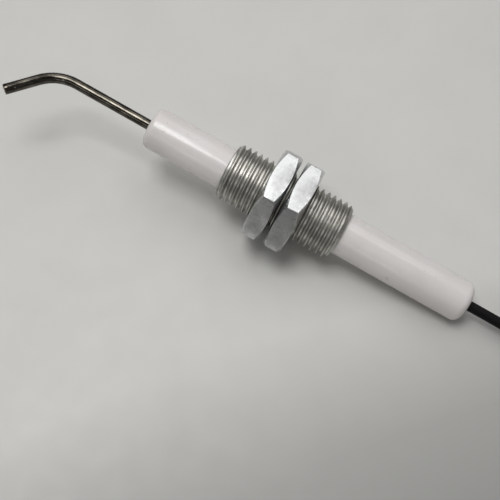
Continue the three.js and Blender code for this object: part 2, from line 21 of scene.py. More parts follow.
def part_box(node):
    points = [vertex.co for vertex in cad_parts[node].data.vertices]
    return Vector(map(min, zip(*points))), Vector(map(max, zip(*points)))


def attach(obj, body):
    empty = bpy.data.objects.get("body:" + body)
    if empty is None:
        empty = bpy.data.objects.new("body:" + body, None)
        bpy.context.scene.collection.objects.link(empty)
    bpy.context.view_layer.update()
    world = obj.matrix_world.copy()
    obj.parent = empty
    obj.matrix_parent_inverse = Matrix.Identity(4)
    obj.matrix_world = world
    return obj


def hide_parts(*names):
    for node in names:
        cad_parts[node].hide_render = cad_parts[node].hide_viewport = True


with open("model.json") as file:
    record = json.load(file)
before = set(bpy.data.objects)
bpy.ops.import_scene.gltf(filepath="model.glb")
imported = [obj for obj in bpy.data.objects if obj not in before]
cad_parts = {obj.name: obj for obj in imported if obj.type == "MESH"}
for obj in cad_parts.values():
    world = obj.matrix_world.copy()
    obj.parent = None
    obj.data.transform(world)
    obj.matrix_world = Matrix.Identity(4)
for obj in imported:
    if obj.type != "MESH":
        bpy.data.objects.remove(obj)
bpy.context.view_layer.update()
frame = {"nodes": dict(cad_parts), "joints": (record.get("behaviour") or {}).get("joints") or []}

MM = 0.001
OWN_PLACE = "own_place"
log = logging.getLogger("ignition_electrode")

Profile = list[tuple[float, float]]
Colour = tuple[float, float, float]
Stretch = tuple[float, float, float]
Reach = tuple[float, float]

# The gaps that the frame keeps between pieces that fit into each other, and between other neighbours
FIT_GAP = 0.12 * MM
CLEARANCE = 0.3 * MM


class Body(Enum):
    """The moving bodies of the frame."""

    ELECTRODE = "electrode"
    FRONT_NUT = "front_nut"
    REAR_NUT = "rear_nut"


# ------------------------------------------------------------------------------------------ places and meshes


@dataclass(frozen=True)
class Span:
    """How far a piece reaches along the electrode's axis and out from it."""

    start: float
    end: float
    inner: float
    outer: float


@dataclass(frozen=True)
class ElectrodeAxis:
    """The electrode's own axis in the frame: its origin lies in the bush's front face."""

    origin: Vector
    along: Vector

    @classmethod
    def of_frame(cls) -> "ElectrodeAxis":
        """Works the axis out from the nuts' slide and the middle of the threaded bush.

        Returns:
            The axis, with its origin in the bush's front face.
        """
        along = Vector(frame["joints"][0]["axis"]).normalized()
        low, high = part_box("threaded_bush")
        middle = (low + high) / 2
        guess = cls(middle, along)
        return cls(middle + along * guess.span("threaded_bush").start, along)

    @property
    def matrix(self) -> Matrix:
        """The turn and shift from the electrode's own place to the frame.

        Returns:
            The turn and shift in one matrix.
        """
        side = Vector((0, 1, 0))
        up = self.along.cross(side)
        turn = Matrix((self.along, side, up)).transposed().to_4x4()
        return Matrix.Translation(self.origin) @ turn

    def point(self, along: float, side: float = 0.0, up: float = 0.0) -> Vector:
        """A point given in the electrode's own place, in the frame.

        Args:
            along: Distance along the axis from the bush's front face.
            side: Distance towards +Y.
            up: Distance square to both.

        Returns:
            The point in the frame.
        """
        return self.matrix @ Vector((along, side, up))

    def span(self, node: str) -> Span:
        """Measures a CAD node along and around the axis.

        Args:
            node: The node's name.

        Returns:
            Its reach along the axis and its least and greatest radius.
        """
        back = self.matrix.inverted()
        points = np.array([back @ v.co for v in frame["nodes"][node].data.vertices])
        radii = np.hypot(points[:, 1], points[:, 2])
        return Span(points[:, 0].min(), points[:, 0].max(), radii.min(), radii.max())


def new_piece(
    name: str,
    points: np.ndarray,
    faces: Sequence[Sequence[int]],
    edges: Sequence[tuple[int, int]] = (),
) -> bpy.types.Object:
    """Makes a mesh piece.

    Args:
        name: The piece's name.
        points: Points, one a row.
        faces: Point numbers of each face.
        edges: Point numbers of each edge that no face has.

    Returns:
        The new piece, linked to the scene.
    """
    mesh = bpy.data.meshes.new(name)
    mesh.from_pydata(np.asarray(points, float).tolist(), list(edges), [list(f) for f in faces])
    piece = bpy.data.objects.new(name, mesh)
    bpy.context.scene.collection.objects.link(piece)
    return piece


def keep_place(piece: bpy.types.Object, places: np.ndarray | None = None) -> None:
    """Stores a place for each point of a piece in its own_place attribute.

    Args:
        piece: The piece.
        places: The places, or None for where the points are now.
    """
    mesh = piece.data
    if places is None:
        places = np.array([v.co for v in mesh.vertices])
    attribute = mesh.attributes.get(OWN_PLACE) or mesh.attributes.new(OWN_PLACE, "FLOAT_VECTOR", "POINT")
    attribute.data.foreach_set("vector", np.asarray(places, np.float32).ravel())


def close_and_shade(piece: bpy.types.Object, sharp_from: float = 30.0) -> bpy.types.Object:
    """Merges doubles, turns the faces outwards and shades smoothly up to an angle.

    Args:
        piece: The piece.
        sharp_from: Edges that fold more than this, in degrees, stay sharp.

    Returns:
        The same piece.
    """
    bm = bmesh.new()
    bm.from_mesh(piece.data)
    bmesh.ops.remove_doubles(bm, verts=bm.verts, dist=1e-7)
    bmesh.ops.recalc_face_normals(bm, faces=bm.faces)
    limit = math.radians(sharp_from)
    for edge in bm.edges:
        edge.smooth = len(edge.link_faces) == 2 and edge.calc_face_angle(0.0) < limit
    for face in bm.faces:
        face.smooth = True
    bm.to_mesh(piece.data)
    bm.free()
    return piece


def loft(rings: np.ndarray, joined_ends: bool = False) -> tuple[np.ndarray, list[tuple[int, ...]]]:
    """Skins a row of closed rings that have the same number of points.

    Args:
        rings: Points as rings, points of a ring, X Y Z.
        joined_ends: True where the last ring meets the first, False where both ends are capped.

    Returns:
        The points, and the faces' point numbers.
    """
    count, sides = rings.shape[:2]
    faces: list[tuple[int, ...]] = []
    for row in range(count if joined_ends else count - 1):
        below, above = row * sides, ((row + 1) % count) * sides
        for k in range(sides):
            after = (k + 1) % sides
            faces.append((below + k, below + after, above + after, above + k))
    if not joined_ends:
        faces.append(tuple(reversed(range(sides))))
        faces.append(tuple(range((count - 1) * sides, count * sides)))
    return rings.reshape(-1, 3), faces


def turned(name: str, profile: Profile, segments: int = 128) -> bpy.types.Object:
    """Turns a closed profile about the electrode's axis.

    Args:
        name: The piece's name.
        profile: Points as (along, radius), none on the axis, which close on themselves.
        segments: Steps around.

    Returns:
        The piece, still in its own place.
    """
    angles = 2 * np.pi * np.arange(segments) / segments
    rings = [
        np.column_stack([np.full(segments, x), r * np.cos(angles), r * np.sin(angles)]) for x, r in profile
    ]
    piece = new_piece(name, *loft(np.array(rings), joined_ends=True))
    keep_place(piece)
    return piece


def arc(middle: tuple[float, float], radius: float, start: float, end: float, steps: int = 10) -> Profile:
    """Points of an arc in a profile.

    Args:
        middle: The arc's middle, as (along, radius).
        radius: The arc's own radius.
        start: Its first angle in degrees, from the along direction.
        end: Its last angle in degrees.
        steps: How many steps it has.

    Returns:
        The points, with both ends.
    """
    angles = np.radians(np.linspace(start, end, steps + 1))
    return [(middle[0] + radius * math.cos(a), middle[1] + radius * math.sin(a)) for a in angles]


def smooth_path(points: Sequence[Sequence[float]], step: float) -> np.ndarray:
    """Runs a smooth curve through points and places new ones at an even distance.

    Args:
        points: The points that the curve passes through.
        step: The distance between the new points.

    Returns:
        The new points, one a row.
    """
    given = np.array(points, float)
    ends = np.vstack([2 * given[0] - given[1], given, 2 * given[-1] - given[-2]])
    pieces = []
    for i in range(1, len(ends) - 2):
        before, here, there, after = ends[i - 1 : i + 3]
        t = np.linspace(0, 1, 12, endpoint=False)[:, None]
        cubic = -before + 3 * here - 3 * there + after
        square = 2 * before - 5 * here + 4 * there - after
        pieces.append(0.5 * (2 * here + (there - before) * t + square * t**2 + cubic * t**3))
    fine = np.vstack([*pieces, given[-1:]])
    distance = np.concatenate([[0], np.cumsum(np.linalg.norm(np.diff(fine, axis=0), axis=1))])
    wanted = np.linspace(0, distance[-1], max(2, round(distance[-1] / step) + 1))
    return np.column_stack([np.interp(wanted, distance, fine[:, k]) for k in range(3)])


def swept(
    name: str,
    path: np.ndarray,
    radius: float,
    sides: int,
    end_bevels: tuple[float, float] = (0.0, 0.0),
) -> bpy.types.Object:
    """Sweeps a round section along a path, with its own_place straightened along X.

    Args:
        name: The piece's name.
        path: Points of the centre line.
        radius: The section's radius.
        sides: Steps around the section.
        end_bevels: How much the first and the last edge are rounded off.

    Returns:
        The piece, where its path is.
    """
    directions = np.gradient(path, axis=0)
    directions /= np.linalg.norm(directions, axis=1)[:, None]
    distance = np.concatenate([[0], np.cumsum(np.linalg.norm(np.diff(path, axis=0), axis=1))])
    across = np.cross(directions[0], (0, 0, 1.0))
    stations: list[tuple[int, float, float]] = [(i, 0.0, radius) for i in range(len(path))]
    first, last = end_bevels
    tip = len(path) - 1
    bulge = 0.3
    if first:
        stations[:1] = [
            (0, 0.0, radius - first),
            (0, bulge * first, radius - bulge * first),
            (0, first, radius),
        ]
    if last:
        stations[-1:] = [
            (tip, -last, radius),
            (tip, -bulge * last, radius - bulge * last),
            (tip, 0.0, radius - last),
        ]
    angles = 2 * np.pi * np.arange(sides) / sides
    rings, straight = [], []
    at = -1
    for index, shift, size in stations:
        if index != at:
            across = across - directions[index] * np.dot(across, directions[index])
            across /= np.linalg.norm(across)
            up = np.cross(across, directions[index])
            at = index
        spokes = np.cos(angles)[:, None] * across + np.sin(angles)[:, None] * up
        rings.append(path[index] + directions[index] * shift + size * spokes)
        along = np.full(sides, distance[index] + shift)
        straight.append(np.column_stack([along, size * np.cos(angles), size * np.sin(angles)]))
    piece = new_piece(name, *loft(np.array(rings)))
    keep_place(piece, np.array(straight).reshape(-1, 3))
    return piece


def join_pieces(first: bpy.types.Object, others: Sequence[bpy.types.Object]) -> bpy.types.Object:
    """Joins pieces of one part into the first.

    Args:
        first: The piece that stays.
        others: The pieces that become part of it.

    Returns:
        The first piece.
    """
    bm = bmesh.new()
    bm.from_mesh(first.data)
    for other in others:
        bm.from_mesh(other.data)
        bpy.data.objects.remove(other)
    bm.to_mesh(first.data)
    bm.free()
    return first


# ------------------------------------------------------------------------------------------------ finishes


class Nodes:
    """A material's node tree under construction, around one Principled shader."""

    def __init__(self, name: str, colour: Colour, roughness: float, metallic: float = 0.0) -> None:
        """Starts a material.

        Args:
            name: The finish's name.
            colour: The base colour.
            roughness: The roughness.
            metallic: The metalness.
        """
        self.material = bpy.data.materials.new(name)
        self.material.use_nodes = True
        self.tree = self.material.node_tree
        self.shader = self.tree.nodes["Principled BSDF"]
        self.set(**{"Base Color": (*colour, 1.0), "Roughness": roughness, "Metallic": metallic})
        attribute = self.node("ShaderNodeAttribute")
        attribute.attribute_name = OWN_PLACE
        self.own_place = attribute.outputs["Vector"]

    def node(self, kind: str) -> bpy.types.Node:
        """Adds a node of a kind."""
        return self.tree.nodes.new(kind)

    def set(self, **values: object) -> None:
        """Sets constant values on the shader's own sockets."""
        for socket, value in values.items():
            self.shader.inputs[socket].default_value = value

    def feed(self, socket: str, output: bpy.types.NodeSocket) -> None:
        """Links an output to one of the shader's sockets."""
        self.tree.links.new(output, self.shader.inputs[socket])

    def put(self, node: bpy.types.Node, index: int | str, value: object) -> None:
        """Gives a node's input a link or a constant.

        Args:
            node: The node.
            index: The input's number or name.
            value: An output to link, or a constant.
        """
        if isinstance(value, bpy.types.NodeSocket):
            self.tree.links.new(value, node.inputs[index])
        else:
            node.inputs[index].default_value = value

    def math(self, operation: str, first: object, second: object = 0.0) -> bpy.types.NodeSocket:
        """Adds a Math node.

        Args:
            operation: The operation's name.
            first: A link or a number.
            second: A link or a number.

        Returns:
            The result.
        """
        node = self.node("ShaderNodeMath")
        node.operation = operation
        self.put(node, 0, first)
        self.put(node, 1, second)
        return node.outputs[0]

    def object_place(self) -> bpy.types.NodeSocket:
        """The place in the frame."""
        return self.node("ShaderNodeTexCoord").outputs["Object"]

    def stretched(self, scale: Stretch) -> bpy.types.NodeSocket:
        """Scales each axis of the own place.

        Args:
            scale: The factor for each axis: a small one draws a pattern out along it.

        Returns:
            The scaled place.
        """
        node = self.node("ShaderNodeMapping")
        self.put(node, "Vector", self.own_place)
        self.put(node, "Scale", scale)
        return node.outputs[0]

    def noise(
        self, vector: bpy.types.NodeSocket, scale: float, detail: float = 3.0, roughness: float = 0.55
    ) -> bpy.types.NodeSocket:
        """Adds a noise pattern.

        Args:
            vector: Where the pattern is read.
            scale: Its scale, per metre.
            detail: How many octaves it has.
            roughness: How strong the fine octaves are.

        Returns:
            The pattern's value, around 0.5.
        """
        node = self.node("ShaderNodeTexNoise")
        self.put(node, "Vector", vector)
        self.put(node, "Scale", scale)
        self.put(node, "Detail", detail)
        self.put(node, "Roughness", roughness)
        return node.outputs["Fac"]

    def spread(
        self, value: bpy.types.NodeSocket, span: Reach, to: Reach = (0.0, 1.0)
    ) -> bpy.types.NodeSocket:
        """Maps a value from one span to another, and holds it at the ends.

        Args:
            value: The value.
            span: What the value runs over.
            to: What it becomes.

        Returns:
            The mapped value.
        """
        node = self.node("ShaderNodeMapRange")
        for index, number in enumerate((*span, *to)):
            self.put(node, index + 1, number)
        self.put(node, 0, value)
        return node.outputs[0]

    def mix(self, factor: bpy.types.NodeSocket, first: object, second: object) -> bpy.types.NodeSocket:
        """Mixes two colours.

        Args:
            factor: How much of the second there is.
            first: A link or three numbers.
            second: A link or three numbers.

        Returns:
            The mixed colour.
        """
        node = self.node("ShaderNodeMix")
        node.data_type = "RGBA"
        self.put(node, "Factor", factor)
        for name, colour in (("A", first), ("B", second)):
            socket = next(s for s in node.inputs if s.name == name and s.type == "RGBA")
            if isinstance(colour, bpy.types.NodeSocket):
                self.tree.links.new(colour, socket)
            else:
                socket.default_value = (*colour, 1.0)
        return next(s for s in node.outputs if s.type == "RGBA")

    def axis_parts(self) -> tuple[bpy.types.NodeSocket, bpy.types.NodeSocket, bpy.types.NodeSocket]:
        """Splits the own place up around the axis.

        Returns:
            The distance along the axis, the radius and the angle.
        """
        parts = self.node("ShaderNodeSeparateXYZ")
        self.put(parts, 0, self.own_place)
        x, y, z = parts.outputs
        squares = self.math("ADD", self.math("MULTIPLY", y, y), self.math("MULTIPLY", z, z))
        return x, self.math("SQRT", squares), self.math("ARCTAN2", z, y)

    def vector(self, x: object, y: object, z: object) -> bpy.types.NodeSocket:
        """Joins three links or numbers.

        Args:
            x: The first.
            y: The second.
            z: The third.

        Returns:
            The vector.
        """
        node = self.node("ShaderNodeCombineXYZ")
        for index, value in enumerate((x, y, z)):
            self.put(node, index, value)
        return node.outputs[0]

    def bump(self, height: bpy.types.NodeSocket, depth: float, strength: float = 1.0) -> None:
        """Adds relief on top of the relief that is there.

        Args:
            height: The relief, from 0 to 1.
            depth: How deep 1 is, in metres.
            strength: How much of it shows.
        """
        node = self.node("ShaderNodeBump")
        self.put(node, "Height", height)
        self.put(node, "Distance", depth)
        self.put(node, "Strength", strength)
        normal = self.shader.inputs["Normal"]
        if normal.is_linked:
            self.tree.links.new(normal.links[0].from_socket, node.inputs["Normal"])
        self.tree.links.new(node.outputs[0], normal)


# In the finishes, scales are per metre, and depths and stretches go with the own place


@dataclass(frozen=True)
class BrightZinc:
    """Bright zinc plate on turned steel, with tool rings, bar marks and dull spots."""

    name: str
    tint: Colour = (0.66, 0.67, 0.668)
    shade: Colour = (0.4, 0.405, 0.4)
    roughness: Reach = (0.2, 0.42)
    ring_depth: float = 0.006 * MM
    bar_marks: bool = False
    ring_scale: float = 900.0
    ring_fineness: float = 9.0
    spot_scale: float = 260.0
    spot_depth: float = 0.09 * MM
    speckle_scale: float = 2600.0
    speckle_strength: float = 0.12
    mark_scale: float = 1500.0
    mark_stretch: Stretch = (0.12, 1.0, 1.0)
    mark_depth: float = 0.01 * MM

    def build(self) -> bpy.types.Material:
        """Builds the finish.

        Returns:
            The material.
        """
        nodes = Nodes(self.name, self.tint, self.roughness[0], 1.0)
        x, radius, _ = nodes.axis_parts()
        spots = nodes.noise(nodes.own_place, self.spot_scale, 4.0, 0.6)
        speckle = nodes.noise(nodes.own_place, self.speckle_scale, 2.0, 0.6)
        nodes.feed("Base Color", nodes.mix(nodes.spread(spots, (0.42, 0.72)), self.tint, self.shade))
        rough = nodes.spread(spots, (0.3, 0.7), self.roughness)
        fine = nodes.math("MULTIPLY", nodes.math("SUBTRACT", speckle, 0.5), self.speckle_strength)
        nodes.feed("Roughness", nodes.math("ADD", rough, fine))
        across = nodes.vector(nodes.math("MULTIPLY", radius, self.ring_fineness), x, 0.0)
        nodes.bump(nodes.noise(across, self.ring_scale, 2.0, 0.5), self.ring_depth, 0.6)
        if self.bar_marks:
            marks = nodes.noise(nodes.stretched(self.mark_stretch), self.mark_scale, 2.0, 0.5)
            nodes.bump(marks, self.mark_depth, 0.35)
        nodes.bump(spots, self.spot_depth, 0.6)
        return nodes.material


@dataclass(frozen=True)
class OxidisedWire:
    """Heat-resisting wire with a dark oxide, drawn lines and small bright nicks."""

    name: str = "oxidised_wire"
    dark: Colour = (0.042, 0.038, 0.032)
    brown: Colour = (0.17, 0.155, 0.13)
    nick: Colour = (0.6, 0.56, 0.48)
    roughness: Reach = (0.07, 0.22)
    blotch_scale: float = 700.0
    blotch_stretch: Stretch = (0.35, 1.0, 1.0)
    blotch_depth: float = 0.02 * MM
    line_scale: float = 4200.0
    line_stretch: Stretch = (0.04, 1.0, 1.0)
    line_depth: float = 0.008 * MM
    nick_scale: float = 900.0
    nick_stretch: Stretch = (0.6, 1.0, 1.0)
    nick_from: Reach = (0.735, 0.76)

    def build(self) -> bpy.types.Material:
        """Builds the finish.

        Returns:
            The material.
        """
        nodes = Nodes(self.name, self.dark, self.roughness[1], 1.0)
        blotches = nodes.noise(nodes.stretched(self.blotch_stretch), self.blotch_scale, 4.0, 0.65)
        lines = nodes.noise(nodes.stretched(self.line_stretch), self.line_scale, 2.0, 0.6)
        chips = nodes.noise(nodes.stretched(self.nick_stretch), self.nick_scale, 1.0, 0.4)
        oxide = nodes.mix(nodes.spread(blotches, (0.38, 0.7)), self.dark, self.brown)
        nodes.feed("Base Color", nodes.mix(nodes.spread(chips, self.nick_from), oxide, self.nick))
        nodes.feed("Roughness", nodes.spread(blotches, (0.3, 0.75), self.roughness))
        nodes.bump(lines, self.line_depth, 0.6)
        nodes.bump(blotches, self.blotch_depth, 0.4)
        return nodes.material


@dataclass(frozen=True)
class FiredCeramic:
    """Dense white alumina with a faint pink cast, specks, and grey patches that darken it beside the bush."""

    name: str = "fired_ceramic"
    body: Colour = (0.78, 0.75, 0.737)
    warm: Colour = (0.735, 0.7, 0.682)
    speck: Colour = (0.5, 0.46, 0.43)
    grey_patch: Colour = (0.6, 0.59, 0.59)
    roughness: Reach = (0.17, 0.28)
    glow: float = 0.25
    glow_depth: float = 2 * MM
    glow_colour: Colour = (1.0, 0.8, 0.7)
    cloud_scale: float = 120.0
    cloud_depth: float = 0.06 * MM
    grain_scale: float = 5200.0
    grain_depth: float = 0.004 * MM
    speck_scale: float = 1350.0
    speck_from: Reach = (0.81, 0.84)
    grey_patch_scale: float = 2.2
    grey_patch_fineness: float = 5.0
    grey_patch_reach: Reach = (30 * MM, 36 * MM)
    grey_patch_strength: float = 0.35

    def build(self) -> bpy.types.Material:
        """Builds the finish.

        Returns:
            The material.
        """
        nodes = Nodes(self.name, self.body, self.roughness[1])
        nodes.set(**{"Subsurface Weight": self.glow, "Subsurface Scale": self.glow_depth})
        nodes.set(**{"Subsurface Radius": self.glow_colour, "Specular IOR Level": 0.55})
        x, _, angle = nodes.axis_parts()
        clouds = nodes.noise(nodes.own_place, self.cloud_scale, 3.0, 0.5)
        grain = nodes.noise(nodes.own_place, self.grain_scale, 2.0, 0.5)
        specks = nodes.noise(nodes.own_place, self.speck_scale, 0.0, 0.5)
        around = nodes.vector(nodes.math("MULTIPLY", x, self.grey_patch_fineness), angle, 0.0)
        grey_patches = nodes.noise(around, self.grey_patch_scale, 4.0, 0.7)
        tone = nodes.mix(nodes.spread(clouds, (0.35, 0.65)), self.body, self.warm)
        spotted = nodes.mix(nodes.spread(specks, self.speck_from, (0.0, 0.7)), tone, self.speck)
        # Greys the ceramic in patches close to the bush, fading away from it
        near = nodes.spread(x, self.grey_patch_reach, (self.grey_patch_strength, 0.0))
        greyed = nodes.math("MULTIPLY", near, nodes.spread(grey_patches, (0.55, 0.7)))
        nodes.feed("Base Color", nodes.mix(greyed, spotted, self.grey_patch))
        nodes.feed("Roughness", nodes.spread(clouds, (0.3, 0.7), self.roughness))
        nodes.bump(grain, self.grain_depth, 0.5)
        nodes.bump(clouds, self.cloud_depth, 0.3)
        return nodes.material


@dataclass(frozen=True)
class SiliconeRubber:
    """Extruded silicone rubber, with fine lines along it and a little dust."""

    name: str
    colour: Colour
    roughness: float = 0.5
    dust: float = 0.25
    dust_tone: float = 0.03
    patch_scale: float = 420.0
    patch_depth: float = 0.03 * MM
    line_scale: float = 3600.0
    line_stretch: Stretch = (0.02, 1.0, 1.0)
    line_depth: float = 0.01 * MM

    def build(self) -> bpy.types.Material:
        """Builds the finish.

        Returns:
            The material.
        """
        nodes = Nodes(self.name, self.colour, self.roughness)
        nodes.set(**{"Specular IOR Level": 0.2})
        lines = nodes.noise(nodes.stretched(self.line_stretch), self.line_scale, 2.0, 0.6)
        patches = nodes.noise(nodes.own_place, self.patch_scale, 4.0, 0.65)
        pale = tuple(0.8 * c + self.dust_tone for c in self.colour)
        dusty = nodes.math("MULTIPLY", nodes.spread(patches, (0.5, 0.78)), self.dust)
        nodes.feed("Base Color", nodes.mix(dusty, self.colour, pale))
        rough = (self.roughness - 0.08, self.roughness + 0.14)
        nodes.feed("Roughness", nodes.spread(patches, (0.3, 0.7), rough))
        nodes.bump(lines, self.line_depth, 0.5)
        nodes.bump(patches, self.patch_depth, 0.4)
        return nodes.material


@dataclass(frozen=True)
class SoftMetal:
    """Brass, copper or plain steel of the small pieces, lightly tarnished and scratched."""

    name: str
    colour: Colour
    tarnish: Colour
    roughness: float = 0.3
    stain_scale: float = 520.0
    scratch_scale: float = 5200.0
    scratch_depth: float = 0.006 * MM

    def build(self) -> bpy.types.Material:
        """Builds the finish.

        Returns:
            The material.
        """
        nodes = Nodes(self.name, self.colour, self.roughness, 1.0)
        place = nodes.object_place()
        stains = nodes.noise(place, self.stain_scale, 4.0, 0.6)
        nodes.feed("Base Color", nodes.mix(nodes.spread(stains, (0.4, 0.7)), self.colour, self.tarnish))
        nodes.feed("Roughness", nodes.spread(stains, (0.3, 0.7), (self.roughness, self.roughness + 0.2)))
        nodes.bump(nodes.noise(place, self.scratch_scale, 2.0, 0.6), self.scratch_depth, 0.5)
        return nodes.material


@dataclass(frozen=True)
class Grainy:
    """Cement, nylon or potting: a plain body with cloudy tone and a fine grain."""

    name: str
    colour: Colour
    second: Colour
    roughness: float
    grain_depth: float = 0.02 * MM
    cloud_scale: float = 600.0
    grain_scale: float = 6000.0

    def build(self) -> bpy.types.Material:
        """Builds the finish.

        Returns:
            The material.
        """
        nodes = Nodes(self.name, self.colour, self.roughness)
        place = nodes.object_place()
        clouds = nodes.noise(place, self.cloud_scale, 4.0, 0.6)
        grains = nodes.noise(place, self.grain_scale, 3.0, 0.6)
        nodes.feed("Base Color", nodes.mix(nodes.spread(clouds, (0.35, 0.68)), self.colour, self.second))
        rough = (self.roughness - 0.06, self.roughness + 0.06)
        nodes.feed("Roughness", nodes.spread(grains, (0.3, 0.7), rough))
        nodes.bump(grains, self.grain_depth, 0.6)
        return nodes.material


@dataclass(frozen=True)
class PaleSurface:
    """The plain pale surface that the electrode lies on, with painted shade on one side and deeper painted
    shade beyond that.
    """

    name: str = "pale_surface"
    lit: Colour = (0.66, 0.655, 0.632)
    # Painted shade: the colour darkens along one way across the surface, and darker still further on
    painted_shade: Colour = (0.4, 0.397, 0.382)
    dark: Colour = (0.11, 0.11, 0.108)
    patch_tone: float = 0.965
    patch_scale: float = 42.0
    shade_way: tuple[float, float] = (0.729, -0.685)
    shade_reach: Reach = (36 * MM, 66 * MM)
    painted_deep_shade_reach: Reach = (66 * MM, 150 * MM)
    drift_scale: float = 14.0
    drift: float = 12 * MM
    mottle_scale: float = 180.0
    grain_scale: float = 1500.0
    grain_depth: float = 0.01 * MM

    def build(self) -> bpy.types.Material:
        """Builds the finish.

        Returns:
            The material.
        """
        nodes = Nodes(self.name, self.lit, 0.55)
        place = nodes.object_place()
        onward = nodes.node("ShaderNodeVectorMath")
        onward.operation = "DOT_PRODUCT"
        nodes.put(onward, 0, place)
        nodes.put(onward, 1, (*self.shade_way, 0.0))
        way = onward.outputs["Value"]
        wander = nodes.math("SUBTRACT", nodes.noise(place, self.drift_scale, 1.0), 0.5)
        edge = nodes.math("ADD", way, nodes.math("MULTIPLY", wander, self.drift))
        patchy = tuple(self.patch_tone * c for c in self.lit)
        clouds = nodes.spread(nodes.noise(place, self.patch_scale, 3.0, 0.6), (0.35, 0.65))
        lit = nodes.mix(clouds, self.lit, patchy)
        # Painted shade over the lit colour, then deeper painted shade beyond it
        half = nodes.mix(nodes.spread(edge, self.shade_reach), lit, self.painted_shade)
        nodes.feed("Base Color", nodes.mix(nodes.spread(way, self.painted_deep_shade_reach), half, self.dark))
        mottle = nodes.noise(place, self.mottle_scale, 3.0, 0.5)
        nodes.feed("Roughness", nodes.spread(mottle, (0.3, 0.7), (0.5, 0.6)))
        nodes.bump(nodes.noise(place, self.grain_scale, 3.0, 0.5), self.grain_depth, 0.4)
        return nodes.material


def dress(piece: bpy.types.Object, material: bpy.types.Material) -> bpy.types.Object:
    """Gives a piece one material in place of any that it has.

    Args:
        piece: The piece.
        material: The material.

    Returns:
        The same piece.
    """
    piece.data.materials.clear()
    piece.data.materials.append(material)
    return piece


def fit(
    piece: bpy.types.Object, body: Body, nodes: Sequence[str], material: bpy.types.Material
) -> bpy.types.Object:
    """Finishes a piece: its material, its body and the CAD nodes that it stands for.

    Args:
        piece: The piece, in place.
        body: The body that it rides on.
        nodes: The CAD nodes that it replaces.
        material: Its finish.

    Returns:
        The same piece.
    """
    dress(piece, material)
    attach(piece, body.value)
    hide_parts(*nodes)
    log.info("%s: %d faces, for %s", piece.name, len(piece.data.polygons), ", ".join(nodes))
    return piece


# --------------------------------------------------------------------------------------------- threaded bush


class TreeMaker:
    """A Geometry Nodes tree under construction."""

    def __init__(self, name: str) -> None:
        """Starts an empty tree.

        Args:
            name: The tree's name.
        """
        self.tree = bpy.data.node_groups.new(name, "GeometryNodeTree")
        self.tree.interface.new_socket("Geometry", in_out="OUTPUT", socket_type="NodeSocketGeometry")
        self.inputs = self.tree.nodes.new("NodeGroupInput")
        self.output = self.tree.nodes.new("NodeGroupOutput")
        self.identifiers: dict[str, str] = {}

    def add_input(self, name: str, kind: str) -> None:
        """Adds a named input of a socket type."""
        socket = self.tree.interface.new_socket(name, in_out="INPUT", socket_type=kind)
        self.identifiers[name] = socket.identifier

    def given(self, name: str) -> bpy.types.NodeSocket:
        """The value of a named input."""
        return self.inputs.outputs[name]

    def node(self, kind: str, **inputs: object) -> bpy.types.Node:
        """Adds a node and sets its inputs.

        Args:
            kind: The node's type.
            inputs: Links or constants, by the input's name with _ for each space.

        Returns:
            The node.
        """
        node = self.tree.nodes.new(kind)
        for name, value in inputs.items():
            self.put(node, name.replace("_", " "), value)
        return node

    def put(self, node: bpy.types.Node, index: int | str, value: object) -> None:
        """Gives a node's input a link or a constant.

        Args:
            node: The node.
            index: The input's number or name.
            value: An output to link, or a constant.
        """
        if isinstance(value, bpy.types.NodeSocket):
            self.tree.links.new(value, node.inputs[index])
        else:
            node.inputs[index].default_value = value

    def math(self, operation: str, *values: object) -> bpy.types.NodeSocket:
        """Adds a Math node.

        Args:
            operation: The operation's name.
            values: One or two links or numbers.

        Returns:
            The result.
        """
        node = self.tree.nodes.new("ShaderNodeMath")
        node.operation = operation
        for index, value in enumerate(values):
            self.put(node, index, value)
        return node.outputs[0]

    def finish(self, geometry: bpy.types.NodeSocket) -> None:
        """Ends the tree in Realize Instances and Set Material.

        Args:
            geometry: What the tree has made.
        """
        real = self.node("GeometryNodeRealizeInstances", Geometry=geometry).outputs[0]
        dressed = self.node("GeometryNodeSetMaterial", Geometry=real, Material=self.given("Material"))
        self.tree.links.new(dressed.outputs[0], self.output.inputs[0])

    def grow(self, name: str, values: dict[str, object]) -> bpy.types.Object:
        """Runs the tree on an empty mesh and keeps the result as a plain mesh.

        Args:
            name: The new piece's name.
            values: A value for each named input.

        Returns:
            The piece, with no modifier.
        """
        piece = bpy.data.objects.new(name, bpy.data.meshes.new(name + "_seed"))
        bpy.context.scene.collection.objects.link(piece)
        modifier = piece.modifiers.new(name, "NODES")
        modifier.node_group = self.tree
        for key, value in values.items():
            modifier[self.identifiers[key]] = value
        bpy.context.view_layer.update()
        evaluated = piece.evaluated_get(bpy.context.evaluated_depsgraph_get())
        mesh = bpy.data.meshes.new_from_object(evaluated)
        piece.modifiers.remove(modifier)
        piece.data = mesh
        mesh.name = name
        return piece


